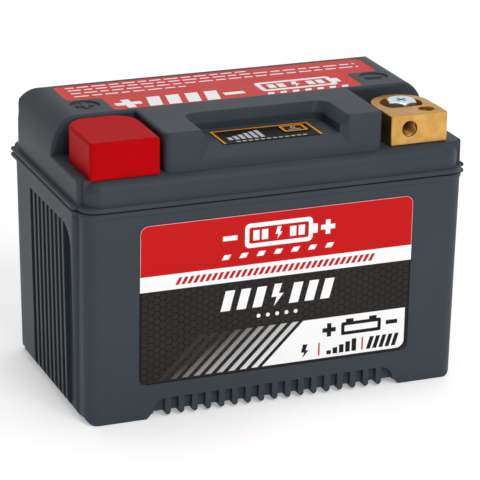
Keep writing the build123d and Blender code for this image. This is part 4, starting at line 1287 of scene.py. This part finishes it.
@dataclass
class TopLabel:
    """The printed film on the lid."""

    paints: Paintbox
    face: float = 104.95
    sign: BatterySign = BatterySign(
        middle=25.5, half_length=15.0, low=-0.6, high=10.6, wall=1.9, pole_length=2.4, pole_inset=3.2,
        bars=(-11.1, -7.2, 4.4, 8.3), bar_width=2.8, bar_inset=3.3, zigzag_inset=2.6,
    )
    sign_row: SlantRow = SlantRow(
        count=7, first=10.6, pitch=4.9, low=-4.6, high=-2.3, width=2.5, lean=0.4
    )
    bold_row: SlantRow = SlantRow(
        count=4, first=-34.8, pitch=7.4, low=-4.2, high=6.6, width=5.0, lean=0.2
    )
    dash_rows: tuple[Place, ...] = (
        (26.6, -57.0, 14.0), (23.2, -57.0, 57.0), (19.4, -57.0, 57.0), (15.4, -57.0, -14.0),
    )
    dash_shortest: float = 3.2
    dash_spread: float = 2.3
    dash_gap: float = 1.3
    dash_half: float = 0.5

    def build(self) -> None:
        """Prints the white marks of the label."""
        plane = PrintPlane((0.0, 0.0, self.face), (1.0, 0.0, 0.0), (0.0, 1.0, 0.0), (0.0, 0.0, 1.0))
        layer = InkLayer(plane)
        self.sign.print_on(layer)
        layer.stamp(*self.sign_row.outlines())
        plus = Shape.plus(-41.2, 1.2, 5.0, 1.6)
        minus = Shape.panel(-4.4, 3.6, -0.3, 2.7)
        layer.stamp(plus, *self.bold_row.outlines(), minus)
        self.fine_rows(layer)
        layer.finish("top_label_marks", self.paints.white_ink, Body.BATTERY, Slot.TOP_PRINT)

    def fine_rows(self, layer: InkLayer) -> None:
        """Adds the fine dashes along the back of the label.

        Args:
            layer: The layer of ink.
        """
        for row, (y, left, last) in enumerate(self.dash_rows):
            number = 0
            while left < last:
                width = self.dash_shortest + self.dash_spread * ((number * 7 + row * 3) % 5) / 4
                right = min(left + width, last)
                layer.stamp(Shape.panel(left, right, y - self.dash_half, y + self.dash_half))
                left += width + self.dash_gap
                number += 1


@dataclass
class ChargeIndicator:
    """The printed film over the charge indicator, and the top of its button."""

    paints: Paintbox
    film_top: float = 98.55
    button_top: float = 98.95
    half_length: float = 18.75
    front: float = -36.55
    rear: float = -21.65
    rim: float = 0.85
    bars: RisingBars = RisingBars(
        count=6, first=-15.4, pitch=2.4, width=1.6, low=-33.0, shortest=3.0, growth=1.05
    )
    dashes: RisingBars = RisingBars(count=12, first=-13.6, pitch=2.3, width=1.5, low=-35.65, shortest=0.8)
    button: Point = (11.0, -27.8)
    button_half: Point = (4.55, 3.45)
    button_rim: float = 0.95
    button_corner: float = 0.6

    @staticmethod
    def layer(height: float) -> InkLayer:
        """Starts a layer of ink on a level face at a height."""
        plane = PrintPlane((0.0, 0.0, height), (1.0, 0.0, 0.0), (0.0, 1.0, 0.0), (0.0, 0.0, 1.0))
        return InkLayer(plane, high=FILM_INK_HEIGHT)

    def build(self) -> None:
        """Prints the film and the button."""
        ends = self.half_length
        inner = ends - self.rim
        border = self.layer(self.film_top)
        border.stamp(Shape.panel(-ends, -inner, self.front, self.rear))
        border.stamp(Shape.panel(inner, ends, self.front, self.rear))
        border.stamp(Shape.panel(-inner, inner, self.rear - self.rim, self.rear))
        border.finish("indicator_border", self.paints.orange_ink, Body.BATTERY, Slot.INDICATOR)
        bars = self.layer(self.film_top)
        bars.stamp(*self.bars.outlines(), *self.dashes.outlines())
        bars.finish("indicator_bars", self.paints.grey_ink, Body.BATTERY, Slot.INDICATOR)
        self.button_print()

    def button_outline(self, inset: float) -> Outline:
        """Draws the button's outline, drawn in by a distance.

        Args:
            inset: The distance.

        Returns:
            The outline.
        """
        x, y = self.button
        across = self.button_half[0] - inset
        along = self.button_half[1] - inset
        corner = max(self.button_corner - inset, 0.05)
        return Shape.panel(x - across, x + across, y - along, y + along, corner)

    def button_print(self) -> None:
        """Prints the frame and the mark on the button's top."""
        x, y = self.button
        mark = self.layer(self.button_top)
        mark.stamp(Shape.panel(x - 2.3, x + 2.3, y - 1.5, y - 1.0))
        mark.ring(Shape.disc(x, y + 0.7, 1.0), Shape.disc(x, y + 0.7, 0.6))
        mark.finish("button_mark", self.paints.grey_ink, Body.BUTTON, Slot.BUTTON)
        band = self.layer(self.button_top)
        band.ring(self.button_outline(0.0), self.button_outline(self.button_rim))
        band.finish("button_frame", self.paints.orange_ink, Body.BUTTON, Slot.BUTTON)


@dataclass
class TerminalThreads:
    """The M6 screw threads cut in the front and top holes of both terminals."""

    paints: Paintbox
    front_hole: Point = (52.5, 97.1)
    top_hole: Point = (61.4, -31.9)
    bore: float = 2.99
    crest: float = 2.55
    pitch: float = 1.0
    ridge_share: float = 0.45
    start: float = 0.7
    turns: int = 7
    steps: int = 24

    def ridge(self, name: str, mouth: Vector, inward: Vector, side: Vector) -> None:
        """Winds one ridge down a hole.

        Args:
            name: The piece's name.
            mouth: The middle of the hole's mouth, in millimetres.
            inward: The way into the hole.
            side: A direction square to it.
        """
        mesh = bmesh.new()
        cross = inward.cross(side)
        half = self.ridge_share * self.pitch
        sections = []
        for number in range(self.turns * self.steps + 1):
            angle = 2 * math.pi * number / self.steps
            depth = self.start + half + self.pitch * number / self.steps
            outward = math.cos(angle) * side + math.sin(angle) * cross
            knots = ((self.bore, depth - half), (self.crest, depth), (self.bore, depth + half))
            sections.append([mesh.verts.new((mouth + outward * r + inward * d) * MM) for r, d in knots])
        for near, far in zip(sections, sections[1:]):
            for index in range(3):
                mesh.faces.new((near[index - 1], near[index], far[index], far[index - 1]))
        mesh.faces.new(sections[0][::-1])
        mesh.faces.new(sections[-1])
        bmesh.ops.recalc_face_normals(mesh, faces=mesh.faces)
        add_piece(name, mesh, self.paints.brass, Body.BATTERY)

    def build(self) -> None:
        """Cuts the front thread and the top thread of each terminal."""
        across = Vector((1.0, 0.0, 0.0))
        for pole, side in (("negative", 1), ("positive", -1)):
            low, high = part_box(pole + "_terminal")
            front_mouth = Vector((side * self.front_hole[0], low[1] / MM, self.front_hole[1]))
            self.ridge(pole + "_front_thread", front_mouth, Vector((0.0, 1.0, 0.0)), across)
            top_mouth = Vector((side * self.top_hole[0], self.top_hole[1], high[2] / MM))
            self.ridge(pole + "_top_thread", top_mouth, Vector((0.0, 0.0, -1.0)), across)


@dataclass
class Battery:
    """The whole battery: every solid's finish and the printed pieces on it."""

    paints: Paintbox

    def finish_of(self, slot: str) -> bpy.types.Material:
        """Finds the finish of a material slot.

        Args:
            slot: The record's slot name.

        Returns:
            The material.
        """
        outside = {
            "case_plastic": self.paints.case,
            "cap_red": self.paints.cap,
            "front_print": self.paints.red_ink,
            "top_print": self.paints.top_red_ink,
            "indicator_film": self.paints.film_black,
            "button_film": self.paints.film_black,
            "brass": self.paints.brass,
            "zinc_steel": self.paints.zinc,
            "copper": self.paints.copper,
            "nickel": self.paints.nickel,
        }
        return outside.get(slot) or self.paints.inside[slot]

    def dress(self) -> None:
        """Gives every solid the finish that its record names."""
        slots = {part["node"]: part["material_slot"] for part in frame["record"]["subparts"]}
        for name, piece in sorted(frame["nodes"].items()):
            material = self.paints.lid if name == "lid" else self.finish_of(slots[name])
            if not piece.material_slots:
                piece.data.materials.append(material)
            for holder in piece.material_slots:
                holder.material = material
            LOG.info("%s: %s", name, material.name)

    def build(self) -> None:
        """Dresses the solids and adds the printed pieces."""
        self.dress()
        FrontLabel(self.paints).build()
        TopLabel(self.paints).build()
        ChargeIndicator(self.paints).build()
        TerminalThreads(self.paints).build()


def corners(box: tuple[Vector, Vector]) -> list[list[float]]:
    """A box as plain lists of numbers."""
    return [[float(part) for part in corner] for corner in box]


def main() -> None:
    """Builds the studio and the battery."""
    logging.basicConfig(level=logging.INFO, format="%(name)s: %(message)s")
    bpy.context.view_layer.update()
    studio = Studio()
    studio.camera()
    studio.floor()
    studio.light()
    Battery(Paintbox()).build()


if __name__ == "__main__":
    main()
